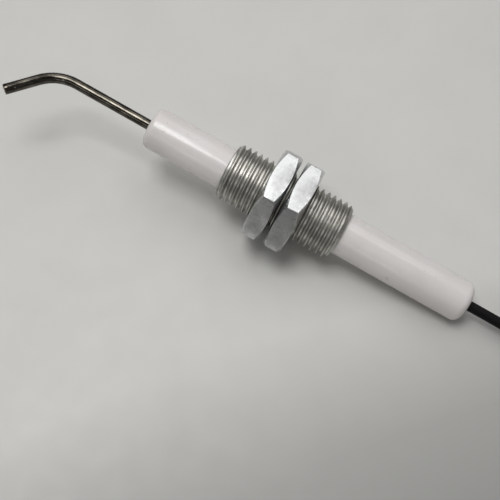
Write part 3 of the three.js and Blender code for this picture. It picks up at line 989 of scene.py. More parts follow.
@dataclass
class ThreadedBush:
    """The steel bush with its outside thread, as one skin that follows the helix."""

    axis: ElectrodeAxis
    pitch: float = 1.5 * MM
    depth: float = 0.92 * MM
    end_step: float = 0.12 * MM
    around: int = 112
    rows_per_turn: int = 16
    crest_share: float = 0.125
    root_share: float = 0.25
    span: Span = field(init=False)

    def __post_init__(self) -> None:
        """Takes the bush's length, bore and outside from the frame."""
        self.span = self.axis.span("threaded_bush")

    def tree(self) -> TreeMaker:
        """Builds the tree of the thread's skin.

        A grid is wrapped around the axis. Its rows follow the helix, and those that would pass an end of the
        bush are held at it. The first row and the last two rows lie on the bore.

        Returns:
            The tree.
        """
        maker = TreeMaker("helical_thread")
        for name in ("Pitch", "Outer Radius", "Depth", "Length", "Bore Radius", "End Radius"):
            maker.add_input(name, "NodeSocketFloat")
        for name in ("Around", "Rows Per Turn"):
            maker.add_input(name, "NodeSocketInt")
        maker.add_input("Material", "NodeSocketMaterial")
        given, math_node = maker.given, maker.math
        turns = math_node("DIVIDE", given("Length"), given("Pitch"))
        steps = math_node("MULTIPLY", math_node("ADD", turns, 1.0), given("Rows Per Turn"))
        helix_rows = math_node("ADD", steps, 1.0)
        rows = math_node("ADD", helix_rows, 3.0)
        grid = maker.node("GeometryNodeMeshGrid", Size_X=1.0, Size_Y=1.0)
        maker.put(grid, "Vertices X", math_node("ADD", given("Around"), 1.0))
        maker.put(grid, "Vertices Y", rows)
        place = maker.node("ShaderNodeSeparateXYZ", Vector=maker.node("GeometryNodeInputPosition").outputs[0])
        turn = math_node("ADD", place.outputs[0], 0.5)
        share = math_node("ADD", place.outputs[1], 0.5)
        row = math_node("ROUND", math_node("MULTIPLY", share, math_node("SUBTRACT", rows, 1.0)))
        step = math_node("DIVIDE", math_node("SUBTRACT", row, 1.0), given("Rows Per Turn"))
        free = math_node("MULTIPLY", math_node("ADD", math_node("SUBTRACT", step, 1.0), turn), given("Pitch"))
        x = math_node("MINIMUM", math_node("MAXIMUM", free, 0.0), given("Length"))
        first_rows = math_node("LESS_THAN", row, 0.5)
        last_row = math_node("GREATER_THAN", row, math_node("ADD", helix_rows, 1.5))
        back_rows = math_node("GREATER_THAN", row, math_node("ADD", helix_rows, 0.5))
        on_bore = math_node("MAXIMUM", first_rows, back_rows)
        at_start = math_node("MAXIMUM", first_rows, last_row)
        ridge = self.ridge_height(maker, x, turn)
        sunk = math_node("MULTIPLY", given("Depth"), math_node("SUBTRACT", 1.0, ridge))
        thread_radius = math_node("SUBTRACT", given("Outer Radius"), sunk)
        from_end = math_node("MINIMUM", x, math_node("SUBTRACT", given("Length"), x))
        envelope = math_node("ADD", given("End Radius"), from_end)
        skin = math_node("MINIMUM", thread_radius, envelope)
        radius = self.either(maker, on_bore, given("Bore Radius"), skin)
        along = math_node("MULTIPLY", x, math_node("SUBTRACT", 1.0, at_start))
        angle = math_node("MULTIPLY", turn, 2 * math.pi)
        wrapped = maker.node("ShaderNodeCombineXYZ", X=along)
        maker.put(wrapped, "Y", math_node("MULTIPLY", radius, math_node("COSINE", angle)))
        maker.put(wrapped, "Z", math_node("MULTIPLY", radius, math_node("SINE", angle)))
        moved = maker.node("GeometryNodeSetPosition", Geometry=grid.outputs[0], Position=wrapped.outputs[0])
        merged = maker.node("GeometryNodeMergeByDistance", Geometry=moved.outputs[0], Distance=2e-6)
        maker.finish(merged.outputs[0])
        return maker

    def ridge_height(
        self, maker: TreeMaker, x: bpy.types.NodeSocket, turn: bpy.types.NodeSocket
    ) -> bpy.types.NodeSocket:
        """The thread's height above its root, from 0 to 1, at a place on the bush.

        Args:
            maker: The tree.
            x: The place along the bush.
            turn: The place around it, in turns.

        Returns:
            The height, 1 on the crest and 0 in the root.
        """
        wound = maker.math("SUBTRACT", maker.math("DIVIDE", x, maker.given("Pitch")), turn)
        phase = maker.math("FRACT", wound)
        off_crest = maker.math("MULTIPLY", maker.math("ABSOLUTE", maker.math("SUBTRACT", phase, 0.5)), 2.0)
        flank = 1.0 - self.crest_share - self.root_share
        fallen = maker.math("DIVIDE", maker.math("SUBTRACT", off_crest, self.crest_share), flank)
        held = maker.math("MINIMUM", maker.math("MAXIMUM", fallen, 0.0), 1.0)
        return maker.math("SUBTRACT", 1.0, held)

    @staticmethod
    def either(
        maker: TreeMaker, choice: bpy.types.NodeSocket, first: object, second: object
    ) -> bpy.types.NodeSocket:
        """Chooses one of two values.

        Args:
            maker: The tree.
            choice: 1 for the first value, 0 for the second.
            first: A link or a number.
            second: A link or a number.

        Returns:
            The chosen value.
        """
        kept = maker.math("MULTIPLY", choice, first)
        other = maker.math("MULTIPLY", maker.math("SUBTRACT", 1.0, choice), second)
        return maker.math("ADD", kept, other)

    def build(self, finish: BrightZinc) -> bpy.types.Object:
        """Builds and fits the bush.

        Args:
            finish: Its finish.

        Returns:
            The bush.
        """
        material = finish.build()
        outer = self.span.outer
        values = {
            "Pitch": self.pitch,
            "Outer Radius": outer,
            "Depth": self.depth,
            "Length": self.span.end - self.span.start,
            "Bore Radius": self.span.inner,
            "End Radius": outer - self.depth - self.end_step,
            "Around": self.around,
            "Rows Per Turn": self.rows_per_turn,
            "Material": material,
        }
        bush = self.tree().grow("bush_with_thread", values)
        close_and_shade(bush, 24.0)
        keep_place(bush)
        bush.data.transform(self.axis.matrix)
        return fit(bush, Body.ELECTRODE, ["threaded_bush"], material)


# ----------------------------------------------------------------------------------------------- lock nuts


@dataclass
class LockNut:
    """A thin hexagon nut with both ends chamfered at 30 degrees."""

    axis: ElectrodeAxis
    node: str
    body: Body
    turn: float = 0.0
    corner_rounding: float = 0.22 * MM
    edge_rounding: float = 0.1 * MM
    countersink: float = 0.4 * MM
    face_inset: float = 0.25 * MM
    chamfer: float = math.radians(30.0)

    def outline(self, half_flats: float) -> tuple[np.ndarray, np.ndarray]:
        """The rounded hexagon.

        Args:
            half_flats: Half the size across flats.

        Returns:
            Angles around the nut, and the hexagon's radius at each.
        """
        rounding = self.corner_rounding
        flat_end = math.atan((half_flats - rounding) * math.tan(math.pi / 6) / half_flats)
        side = np.concatenate(
            [
                np.linspace(-math.pi / 6, -flat_end, 4, endpoint=False),
                np.linspace(-flat_end, flat_end, 17, endpoint=False),
                np.linspace(flat_end, math.pi / 6, 4, endpoint=False),
            ]
        )
        middle = (half_flats - rounding) / math.cos(math.pi / 6)
        off_corner = math.pi / 6 - np.abs(side)
        under = np.maximum(rounding**2 - (middle * np.sin(off_corner)) ** 2, 0.0)
        rounded = middle * np.cos(off_corner) + np.sqrt(under)
        radius = np.where(np.abs(side) > flat_end, rounded, half_flats / np.cos(side))
        angles = np.concatenate([side + math.radians(30 + 60 * k) for k in range(6)])
        return angles, np.tile(radius, 6)

    def build(self, finish: BrightZinc) -> bpy.types.Object:
        """Builds and fits the nut.

        Args:
            finish: Its finish.

        Returns:
            The nut.
        """
        span = self.axis.span(self.node)
        half_flats = self.half_flats()
        angles, radius = self.outline(half_flats)
        face = half_flats - self.face_inset
        depth = (radius - face) * math.tan(self.chamfer)
        edge, bore, thick = self.edge_rounding, span.inner, span.end - span.start
        flat = np.ones_like(radius)
        half = [
            (self.countersink * flat, bore * flat),
            (edge * flat, (bore + self.countersink - edge) * flat),
            (0 * flat, (bore + self.countersink + 0.5 * edge) * flat),
            (0 * flat, (face - edge) * flat),
            (0.15 * edge * flat, (face - 0.2 * edge) * flat),
            (edge * math.tan(self.chamfer) * flat, (face + edge) * flat),
            (depth - edge * math.sin(self.chamfer), radius - edge * math.cos(self.chamfer)),
            (depth + 0.1 * edge, radius - 0.12 * edge),
            (depth + edge, radius),
        ]
        rows = half + [(thick - x, r) for x, r in reversed(half)]
        turn = angles + self.turn
        rings = np.array([np.column_stack([x, r * np.cos(turn), r * np.sin(turn)]) for x, r in rows])
        nut = new_piece(self.node + "_turned", *loft(rings, joined_ends=True))
        keep_place(nut)
        close_and_shade(nut, 26.0)
        nut.data.transform(self.axis.matrix @ Matrix.Translation((span.start, 0, 0)))
        return fit(nut, self.body, [self.node], finish.build())

    def half_flats(self) -> float:
        """Measures half the size across flats, on the frame's own nut.

        Returns:
            The distance of the flats from the axis.
        """
        back = self.axis.matrix.inverted()
        points = np.array([back @ v.co for v in frame["nodes"][self.node].data.vertices])
        down = self.turn - math.pi / 2
        reach = points[:, 1] * math.cos(down) + points[:, 2] * math.sin(down)
        return float(reach.max())


# ---------------------------------------------------------------------------------------------- insulator


@dataclass
class Insulator:
    """The ceramic tube, with the potting that closes its rear end."""

    axis: ElectrodeAxis
    front_edge: float = 1.4 * MM
    rear_edge: float = 2.0 * MM
    bore_edge: float = 0.25 * MM
    meniscus: float = 0.45 * MM

    def build(self, ceramic: FiredCeramic, potting: Grainy) -> None:
        """Builds and fits both pieces.

        Args:
            ceramic: The tube's finish.
            potting: The potting's finish.
        """
        self.build_tube(ceramic)
        self.build_potting(potting)

    def build_tube(self, finish: FiredCeramic) -> bpy.types.Object:
        """Builds and fits the ceramic tube, with its grooves and its stepped bore.

        Args:
            finish: Its finish.

        Returns:
            The tube.
        """
        tube = self.axis.span("ceramic_insulator")
        seal = self.axis.span("front_seal_cement")
        collar = self.axis.span("rod_retaining_collar")
        potting = self.axis.span("rear_potting")
        front, rear, outer = tube.start, tube.end, tube.outer
        seal_radius, rear_bore = seal.outer + FIT_GAP, potting.outer + FIT_GAP
        lip = self.bore_edge
        profile: Profile = [(front + lip, seal_radius), (front + 0.3 * lip, seal_radius + 0.3 * lip)]
        profile += [(front, seal_radius + lip)]
        profile += arc((front + self.front_edge, outer - self.front_edge), self.front_edge, 180, 90)
        for node in ("front_bush_cement", "rear_bush_cement"):
            band = self.axis.span(node)
            groove = band.inner - FIT_GAP
            start, end = band.start - CLEARANCE, band.end + CLEARANCE
            profile += [(start, outer), (start, groove), (end, groove), (end, outer)]
        profile += arc((rear - self.rear_edge, outer - self.rear_edge), self.rear_edge, 90, 0, 14)
        profile += [(rear, rear_bore + lip), (rear - 0.3 * lip, rear_bore + 0.3 * lip)]
        profile += [(rear - lip, rear_bore)]
        step = collar.start - CLEARANCE
        profile += [(step, rear_bore), (step, seal.inner)]
        profile += [(seal.end + FIT_GAP, seal.inner), (seal.end + FIT_GAP, seal_radius)]
        piece = turned("insulator_tube", profile)
        close_and_shade(piece, 40.0)
        piece.data.transform(self.axis.matrix)
        return fit(piece, Body.ELECTRODE, ["ceramic_insulator"], finish.build())

    def build_potting(self, finish: Grainy) -> bpy.types.Object:
        """Builds and fits the potting, which climbs a little up the bore and the lead.

        Args:
            finish: Its finish.

        Returns:
            The potting.
        """
        span = self.axis.span("rear_potting")
        inner, outer, end = span.inner, span.outer, span.end
        shares = np.linspace(0, 1, 11)
        surface = [
            (end - self.meniscus * math.sin(math.pi * s), outer + (inner - outer) * s) for s in shares
        ]
        profile: Profile = [(span.start, inner), (span.start, outer), *surface]
        piece = turned("potting_plug", profile, 64)
        close_and_shade(piece, 50.0)
        piece.data.transform(self.axis.matrix)
        return fit(piece, Body.ELECTRODE, ["rear_potting"], finish.build())


# ------------------------------------------------------------------------------------------------- rod


@dataclass
class ElectrodeRod:
    """The bent electrode wire."""

    axis: ElectrodeAxis
    stand_out: float = 24.8 * MM
    leg: float = 13.0 * MM
    bend: float = math.radians(52.3)
    bend_radius: float = 10.0 * MM
    radius: float = 1.25 * MM
    end_bevel: float = 0.18 * MM

    def centre_line(self) -> np.ndarray:
        """The rod's line in its own place: along the axis, round the bend and down the leg.

        Returns:
            The points, one a row.
        """
        tail = self.axis.span("electrode_rod").end
        corner = self.axis.span("ceramic_insulator").start - self.stand_out
        cut = self.bend_radius * math.tan(self.bend / 2)
        start = corner + cut
        straight = [(x, 0.0, 0.0) for x in np.linspace(tail, start, 60, endpoint=False)]
        around = []
        for angle in np.linspace(0, self.bend, 25):
            x = start - self.bend_radius * math.sin(angle)
            around.append((x, -self.bend_radius * (1 - math.cos(angle)), 0.0))
        end = np.array(around[-1])
        way = np.array([-math.cos(self.bend), -math.sin(self.bend), 0.0])
        leg = [tuple(end + way * d) for d in np.linspace(0, self.leg - cut, 10)[1:]]
        return np.array([*straight, *around, *leg])

    def build(self, finish: OxidisedWire, cut_finish: SoftMetal) -> bpy.types.Object:
        """Builds and fits the rod.

        Args:
            finish: The drawn surface's finish.
            cut_finish: The sheared tip's finish.

        Returns:
            The rod.
        """
        rod = swept("electrode_wire", self.centre_line(), self.radius, 40, (self.end_bevel, self.end_bevel))
        close_and_shade(rod, 50.0)
        rod.data.transform(self.axis.matrix)
        fit(rod, Body.ELECTRODE, ["electrode_rod"], finish.build())
        rod.data.materials.append(cut_finish.build())
        for face in rod.data.polygons:
            if len(face.vertices) > 4:
                face.material_index = 1
        return rod


# ------------------------------------------------------------------------------------------- lead and coil


@dataclass
class Lead:
    """The high-voltage lead: out of the insulator, along the surface, into its coil and to the terminal."""

    axis: ElectrodeAxis
    diameter: float = 2.5 * MM
    straight_out: tuple[float, ...] = (2, 4, 6, 8)
    # Along X from the exit, Y, and height above the surface, in mm
    route: tuple[tuple[float, float, float], ...] = (
        (10, -0.04, 3.4),
        (12, -0.3, 3.13),
        (14, -0.85, 2.86),
        (16, -1.55, 2.58),
        (18, -2.35, 2.28),
        (20, -3.13, 1.98),
        (22, -3.85, 1.72),
        (24, -4.45, 1.5),
        (26, -4.85, 1.35),
    )
    coil_turns: int = 4
    coil_steps: int = 36
    shift_start: float = 245.0
    shift_zone: float = 95.0
    tie_angle: float = 0.0
    tie_lift: float = 0.72 * MM
    tail: tuple[tuple[float, float], ...] = (
        (2, 3.75),
        (4, 3.75),
        (6, 3.74),
        (8, 3.6),
        (10, 3.25),
        (12, 2.85),
        (14, 2.6),
        (16, 2.55),
        (18.3, 2.55),
    )
    exit: Vector = field(init=False)
    coil_middle: Vector = field(init=False)
    coil_radius: float = field(init=False)

    def __post_init__(self) -> None:
        """Takes the exit and the coil's place from the frame."""
        self.exit = self.axis.point(self.axis.span("ceramic_insulator").end)
        low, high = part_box("lead_coil")
        self.coil_middle = (low + high) / 2
        self.coil_radius = (high.x - low.x) / 2 - 1.5 * self.diameter

    def slot(self, number: int) -> tuple[float, float]:
        """Places the coil's turns in its section: three below, then two on top of them.

        Args:
            number: The turn's number, from 0.

        Returns:
            The turn's radius and height.
        """
        d = self.diameter
        below = [(self.coil_radius + d * k, 0.52 * d) for k in (1, 0, -1)]
        above = [(self.coil_radius + d * k, 1.5 * d) for k in (-0.5, 0.5)]
        return (below + above)[number]

    def coil_points(self) -> list[tuple[float, float, float]]:
        """The coil's turns, anticlockwise from its -Y side, each one moving to the next place at its end.

        Returns:
            The points, the first one at the start of the first turn.
        """
        points = []
        for step in range(self.coil_turns * self.coil_steps + 1):
            swept_angle = 360.0 * step / self.coil_steps
            turn = min(int(swept_angle // 360), self.coil_turns - 1)
            late = (swept_angle - 360 * turn - self.shift_start) / self.shift_zone
            share = min(max(late, 0.0), 1.0)
            share = share * share * (3 - 2 * share)
            (r0, z0), (r1, z1) = self.slot(turn), self.slot(turn + 1)
            angle = math.radians(swept_angle - 90)
            off_tie = (math.degrees(angle) - self.tie_angle + 180) % 360 - 180
            lift = self.tie_lift * math.exp(-((off_tie / 34.0) ** 2))
            radius = r0 + (r1 - r0) * share
            x = self.coil_middle.x + radius * math.cos(angle)
            y = self.coil_middle.y + radius * math.sin(angle)
            points.append((x, y, z0 + (z1 - z0) * share + lift))
        return points

    def centre_line(self) -> np.ndarray:
        """The whole lead's line, from inside the insulator to the end of its jacket.

        Returns:
            The points, evenly spaced.
        """
        start = self.axis.span("splice_conductor").end + 1.3 * MM
        end = self.axis.span("ceramic_insulator").end
        inside = [self.axis.point(x) for x in np.linspace(start, end, 8)]
        straight = [self.axis.point(end + s * MM) for s in self.straight_out]
        along = [(self.exit.x + x * MM, y * MM, z * MM) for x, y, z in self.route]
        coil = self.coil_points()
        x_end, y_end = coil[-1][0], coil[-1][1]
        tail = [(x_end + x * MM, y_end, z * MM) for x, z in self.tail]
        points = [tuple(p) for p in (*inside, *straight)] + along + coil + tail
        return smooth_path(points, 0.7 * MM)

    def build(self, finish: SiliconeRubber) -> tuple[bpy.types.Object, np.ndarray]:
        """Builds and fits the lead.

        Args:
            finish: The jacket's finish.

        Returns:
            The lead and its centre line.
        """
        path = self.centre_line()
        lead = swept("high_voltage_lead", path, self.diameter / 2, 16, (0.12 * MM, 0.12 * MM))
        close_and_shade(lead, 50.0)
        fit(lead, Body.ELECTRODE, ["lead_run", "lead_coil", "lead_tail"], finish.build())
        return lead, path


@dataclass
class CoilTie:
    """The nylon tie around the coil: a strap with ratchet teeth, and its head."""

    lead: Lead
    thickness: float = 0.55 * MM
    width: float = 2.5 * MM
    play: float = 0.08 * MM
    edge: float = 0.12 * MM
    corner_steps: int = 9
    teeth: int = 26
    tooth: tuple[float, float, float] = (0.28 * MM, 1.8 * MM, 0.16 * MM)
    head: tuple[float, float, float] = (1.7 * MM, 3.4 * MM, 2.9 * MM)
    head_sunk: float = 0.25 * MM
    head_rise: float = 0.7 * MM
    head_rounding: float = 0.35 * MM

    def hug(self, distance: float) -> np.ndarray:
        """The outline that lies a distance outside the coil's turns.

        Args:
            distance: How far it lies from the turns' centre lines.

        Returns:
            Points as (radius, height), anticlockwise.
        """
        lift = self.lead.tie_lift
        corners = [self.lead.slot(2), self.lead.slot(0), self.lead.slot(4), self.lead.slot(3)]
        corners = [(r, z + lift) for r, z in corners]
        points = []
        for k, here in enumerate(corners):
            before, after = corners[k - 1], corners[(k + 1) % 4]
            start = math.atan2(here[1] - before[1], here[0] - before[0]) - math.pi / 2
            end = math.atan2(after[1] - here[1], after[0] - here[0]) - math.pi / 2
            end += 2 * math.pi * (end < start)
            for angle in np.linspace(start, end, self.corner_steps):
                points.append((here[0] + distance * math.cos(angle), here[1] + distance * math.sin(angle)))
        return np.array(points)

    def strap(self) -> bpy.types.Object:
        """Makes the strap, a band with rounded edges around the turns.

        Returns:
            The strap, in its own place.
        """
        near = self.lead.diameter / 2 + self.play
        far, half, edge = near + self.thickness, self.width / 2, self.edge
        section = [
            (near, -half + edge),
            (near + edge, -half),
            (far - edge, -half),
            (far, -half + edge),
            (far, half - edge),
            (far - edge, half),
            (near + edge, half),
            (near, half - edge),
        ]
        rows = []
        for distance, side in section:
            outline = self.hug(distance)
            rows.append(np.column_stack([outline[:, 0], np.full(len(outline), side), outline[:, 1]]))
        return new_piece("coil_tie_strap", *loft(np.array(rows), joined_ends=True))

    def head_block(self) -> bpy.types.Object:
        """Makes the head, a rounded block outside the coil.

        Returns:
            The head, in its own place.
        """
        reach = self.hug(self.lead.diameter / 2 + self.play + self.thickness)
        along = reach[:, 0].max() - self.head_sunk + self.head[0] / 2
        rise = self.lead.slot(0)[1] + self.lead.tie_lift + self.head_rise
        bm = bmesh.new()
        bmesh.ops.create_cube(bm, size=1.0)
        bmesh.ops.scale(bm, vec=self.head, verts=bm.verts)
        rounding = self.head_rounding
        bmesh.ops.bevel(bm, geom=bm.edges[:], offset=rounding, segments=3, profile=0.6, affect="EDGES")
        bmesh.ops.translate(bm, vec=(along, 0, rise), verts=bm.verts)
        head = new_piece("tie_head", np.empty((0, 3)), [])
        bm.to_mesh(head.data)
        bm.free()
        return head

    def tooth_tree(self) -> TreeMaker:
        """Builds the tree that lays the ratchet teeth along an outline.

        Returns:
            The tree.
        """
        maker = TreeMaker("ratchet_teeth")
        maker.add_input("Outline", "NodeSocketObject")
        maker.add_input("Count", "NodeSocketInt")
        maker.add_input("Tooth Size", "NodeSocketVector")
        maker.add_input("Material", "NodeSocketMaterial")
        info = maker.node("GeometryNodeObjectInfo", Object=maker.given("Outline"))
        line = maker.node("GeometryNodeMeshToCurve", Mesh=info.outputs["Geometry"])
        spots = maker.node("GeometryNodeResampleCurve", Curve=line.outputs[0], Count=maker.given("Count"))
        tangent = maker.node("GeometryNodeInputTangent").outputs[0]
        turn = maker.node("FunctionNodeAlignRotationToVector", Vector=tangent)
        turn.axis = "X"
        turn.pivot_axis = "Y"
        tooth = maker.node("GeometryNodeMeshCube", Size=maker.given("Tooth Size"))
        placed = maker.node("GeometryNodeInstanceOnPoints", Points=spots.outputs[0])
        maker.put(placed, "Instance", tooth.outputs[0])
        maker.put(placed, "Rotation", turn.outputs[0])
        maker.finish(placed.outputs[0])
        return maker

    def tooth_rows(self, material: bpy.types.Material) -> bpy.types.Object:
        """Makes the ratchet teeth across the strap's outside.

        Args:
            material: The teeth's finish.

        Returns:
            All the teeth as one mesh.
        """
        outline = self.hug(self.lead.diameter / 2 + self.play + self.thickness)
        points = np.column_stack([outline[:, 0], np.zeros(len(outline)), outline[:, 1]])
        edges = [(k, (k + 1) % len(points)) for k in range(len(points))]
        guide = new_piece("tie_outline", points, [], edges)
        values = {"Outline": guide, "Count": self.teeth, "Tooth Size": self.tooth, "Material": material}
        teeth = self.tooth_tree().grow("tie_teeth", values)
        bpy.data.objects.remove(guide)
        return teeth

    def build(self, finish: Grainy) -> bpy.types.Object:
        """Builds and fits the tie.

        Args:
            finish: Its finish.

        Returns:
            The tie.
        """
        material = finish.build()
        tie = join_pieces(self.strap(), [self.head_block(), self.tooth_rows(material)])
        close_and_shade(tie, 35.0)
        middle = self.lead.coil_middle
        place = Matrix.Translation((middle.x, middle.y, 0))
        tie.data.transform(place @ Matrix.Rotation(math.radians(self.lead.tie_angle), 4, "Z"))
        return fit(tie, Body.ELECTRODE, ["coil_tie"], material)


# ------------------------------------------------------------------------------------------------ terminal


@dataclass
class Terminal:
    """The push-on terminal: twisted conductor, receptacle and insulating sleeve."""

    strands: int = 7
    strand_radius: float = 0.235 * MM
    lay_length: float = 9.0 * MM
    strand_sides: int = 10
    strand_steps: int = 40
    sleeve_wall: float = 0.5 * MM
    mouth_flare: float = 0.15 * MM
    # Share of the sleeve's length, and how far the outside is drawn in there, in mm
    sleeve_outside: tuple[tuple[float, float], ...] = (
        (0.0, 0.22),
        (0.004, 0.08),
        (0.012, 0.0),
        (0.03, 0.0),
        (0.05, 0.1),
        (0.32, 0.12),
        (0.42, 0.04),
        (0.9, 0.04),
        (0.95, 0.0),
        (0.985, 0.0),
        (0.996, 0.08),
        (1.0, 0.22),
    )
    sheet_edge: float = 0.06 * MM
    contact_half_width: float = 2.8 * MM
    contact_floor: float = -1.0 * MM
    contact_corner: float = 0.3 * MM
    contact_length: float = 7.0 * MM
    contact_wall: float = 0.36 * MM
    curl_radius: float = 0.55 * MM
    curl_height: float = 0.45 * MM
    # Radius, wall and length of each barrel
    insulation_barrel: tuple[float, float, float] = (1.55 * MM, 0.34 * MM, 3.0 * MM)
    wire_barrel: tuple[float, float, float] = (0.98 * MM, 0.3 * MM, 3.5 * MM)
    barrel_gap: float = 2.0 * MM
    seam_angles: tuple[float, float] = (12.0, 10.0)
    strip_half_width: float = 0.8 * MM
    strip_wall: float = 0.34 * MM
    # How far in the strip starts and stops, from the receptacle's two ends
    strip_span: tuple[float, float] = (2.6 * MM, 6.8 * MM)

    @staticmethod
    def oval(half_width: float, half_height: float, steps: int = 12) -> np.ndarray:
        """An outline with flat sides and round ends.

        Args:
            half_width: Half its width.
            half_height: Half its height, which is the ends' radius.
            steps: Steps in each quarter.

        Returns:
            Points as (side, up).
        """
        points = []
        for quarter, side in enumerate((1, -1, -1, 1)):
            middle = side * (half_width - half_height)
            for angle in np.radians(np.linspace(90 * quarter, 90 * quarter + 90, steps + 1)):
                points.append((middle + half_height * math.cos(angle), half_height * math.sin(angle)))
        return np.array(points)

    def build_sleeve(self, finish: SiliconeRubber) -> bpy.types.Object:
        """Builds and fits the sleeve: an oval tube with rolled lips and a shallow waist.

        Args:
            finish: Its finish.

        Returns:
            The sleeve.
        """
        low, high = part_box("terminal_sleeve")
        middle = (low + high) / 2
        half_width, half_height = (high.y - low.y) / 2, (high.z - low.z) / 2
        rows = []
        for share, inset in self.sleeve_outside:
            rows.append((share, self.oval(half_width - inset * MM, half_height - inset * MM)))
        wall = self.sleeve_wall
        inner = self.oval(half_width - wall, half_height - wall)
        wall -= self.mouth_flare
        mouth = self.oval(half_width - wall, half_height - wall)
        rows += [(1.0, mouth), (0.99, inner), (0.01, inner), (0.0, mouth)]
        rings = []
        for share, outline in rows:
            x = np.full(len(outline), low.x + share * (high.x - low.x))
            rings.append(np.column_stack([x, middle.y + outline[:, 0], middle.z + outline[:, 1]]))
        sleeve = new_piece("terminal_cover", *loft(np.array(rings), joined_ends=True))
        keep_place(sleeve)
        close_and_shade(sleeve, 45.0)
        return fit(sleeve, Body.ELECTRODE, ["terminal_sleeve"], finish.build())

    def strand_tree(self) -> TreeMaker:
        """Builds the tree of the conductor: strands twisted around a straight one.

        Returns:
            The tree.
        """
        maker = TreeMaker("twisted_strands")
        for name in ("Length", "Strand Radius", "Lay Length"):
            maker.add_input(name, "NodeSocketFloat")
        maker.add_input("Material", "NodeSocketMaterial")
        given = maker.given
        twisted = self.strands - 1
        joined = maker.node("GeometryNodeJoinGeometry")
        section = maker.node("GeometryNodeCurvePrimitiveCircle", Resolution=self.strand_sides)
        maker.put(section, "Radius", given("Strand Radius"))
        rotations = maker.math("DIVIDE", given("Length"), given("Lay Length"))
        for strand in range(self.strands):
            out = maker.math("MULTIPLY", given("Strand Radius"), 2.0 if strand < twisted else 0.0)
            helix = maker.node("GeometryNodeCurveSpiral", Resolution=self.strand_steps)
            maker.put(helix, "Height", given("Length"))
            maker.put(helix, "Rotations", rotations)
            maker.put(helix, "Start Radius", out)
            maker.put(helix, "End Radius", out)
            tube = maker.node("GeometryNodeCurveToMesh", Curve=helix.outputs[0])
            maker.put(tube, "Profile Curve", section.outputs[0])
            maker.put(tube, "Fill Caps", True)
            placed = maker.node("GeometryNodeTransform", Geometry=tube.outputs[0])
            maker.put(placed, "Rotation", (0, 0, 2 * math.pi * strand / twisted))
            maker.put(joined, 0, placed.outputs[0])
        maker.finish(joined.outputs[0])
        return maker

    def build_conductor(self, finish: SoftMetal) -> bpy.types.Object:
        """Builds and fits the conductor.

        Args:
            finish: Its finish.

        Returns:
            The strands as one mesh.
        """
        low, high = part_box("terminal_conductor")
        middle = (low + high) / 2
        material = finish.build()
        values = {
            "Length": high.x - low.x,
            "Strand Radius": self.strand_radius,
            "Lay Length": self.lay_length,
            "Material": material,
        }
        strands = self.strand_tree().grow("conductor_strands", values)
        close_and_shade(strands, 50.0)
        to_x = Matrix.Rotation(math.pi / 2, 4, "Y")
        strands.data.transform(Matrix.Translation((low.x, middle.y, middle.z)) @ to_x)
        return fit(strands, Body.ELECTRODE, ["terminal_conductor"], material)

    def sheet(self, name: str, line: np.ndarray, wall: float, start: float, end: float) -> bpy.types.Object:
        """Runs a bent strip of sheet metal along X, with its edges broken.

        Args:
            name: The piece's name.
            line: The strip's middle line, as (side, up).
            wall: Its thickness.
            start: Where it starts along X.
            end: Where it ends.

        Returns:
            The strip.
        """
        along = np.gradient(line, axis=0)
        along /= np.linalg.norm(along, axis=1)[:, None]
        square = np.column_stack([-along[:, 1], along[:, 0]])
        edge = self.sheet_edge
        rings = []
        for x, shrink in ((start, edge), (start + edge, 0.0), (end - edge, 0.0), (end, edge)):
            out = square * (wall / 2 - shrink)
            outline = np.vstack([line + out, (line - out)[::-1]])
            rings.append(np.column_stack([np.full(len(outline), x), outline]))
        return new_piece(name, *loft(np.array(rings)))

    @staticmethod
    def rolled(radius: float, seam: float) -> np.ndarray:
        """The middle line of a rolled barrel.

        Args:
            radius: Its radius.
            seam: Half the angle of the seam on top, in degrees.

        Returns:
            Points as (side, up).
        """
        angles = np.radians(np.linspace(90 + seam, 450 - seam, 41))
        return np.column_stack([radius * np.cos(angles), radius * np.sin(angles)])

    def channel(self) -> np.ndarray:
        """The middle line of the contact: a flat floor, two sides and their curls.

        Returns:
            Points as (side, up).
        """
        side, floor, corner, curl = (
            self.contact_half_width,
            self.contact_floor,
            self.contact_corner,
            self.curl_radius,
        )
        left = []
        for angle in np.radians(range(20, 181, 20)):
            rise = self.curl_height + curl * math.sin(angle)
            left.append((-side + curl + curl * math.cos(angle), rise))
        left += [(-side, 0.2 * MM), (-side, floor + corner), (-side + corner, floor)]
        right = [(-y, z) for y, z in reversed(left)]
        return np.array([*left, *right])

    def build_receptacle(self, finish: SoftMetal) -> bpy.types.Object:
        """Builds and fits the receptacle: two crimp barrels, a strip and the contact with its curls.

        Args:
            finish: Its finish.

        Returns:
            The receptacle.
        """
        low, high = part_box("terminal_receptacle")
        sleeve_low, sleeve_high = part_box("terminal_sleeve")
        start, end = low.x, high.x
        pieces = [self.sheet("contact", self.channel(), self.contact_wall, end - self.contact_length, end)]
        at = start
        barrels = (("insulation_barrel", self.insulation_barrel), ("wire_barrel", self.wire_barrel))
        for (name, (radius, wall, length)), seam in zip(barrels, self.seam_angles):
            pieces.append(self.sheet(name, self.rolled(radius, seam), wall, at, at + length))
            at += length + self.barrel_gap
        half = self.strip_half_width
        floor = np.array([(y, self.contact_floor) for y in np.linspace(-half, half, 5)])
        strip_start, strip_end = start + self.strip_span[0], end - self.strip_span[1]
        pieces.append(self.sheet("base_strip", floor, self.strip_wall, strip_start, strip_end))
        receptacle = join_pieces(pieces[0], pieces[1:])
        receptacle.name = "push_on_receptacle"
        close_and_shade(receptacle, 40.0)
        middle_y, middle_z = (low.y + high.y) / 2, (sleeve_low.z + sleeve_high.z) / 2
        receptacle.data.transform(Matrix.Translation((0, middle_y, middle_z)))
        return fit(receptacle, Body.ELECTRODE, ["terminal_receptacle"], finish.build())


# ------------------------------------------------------------------------------------------- inner pieces


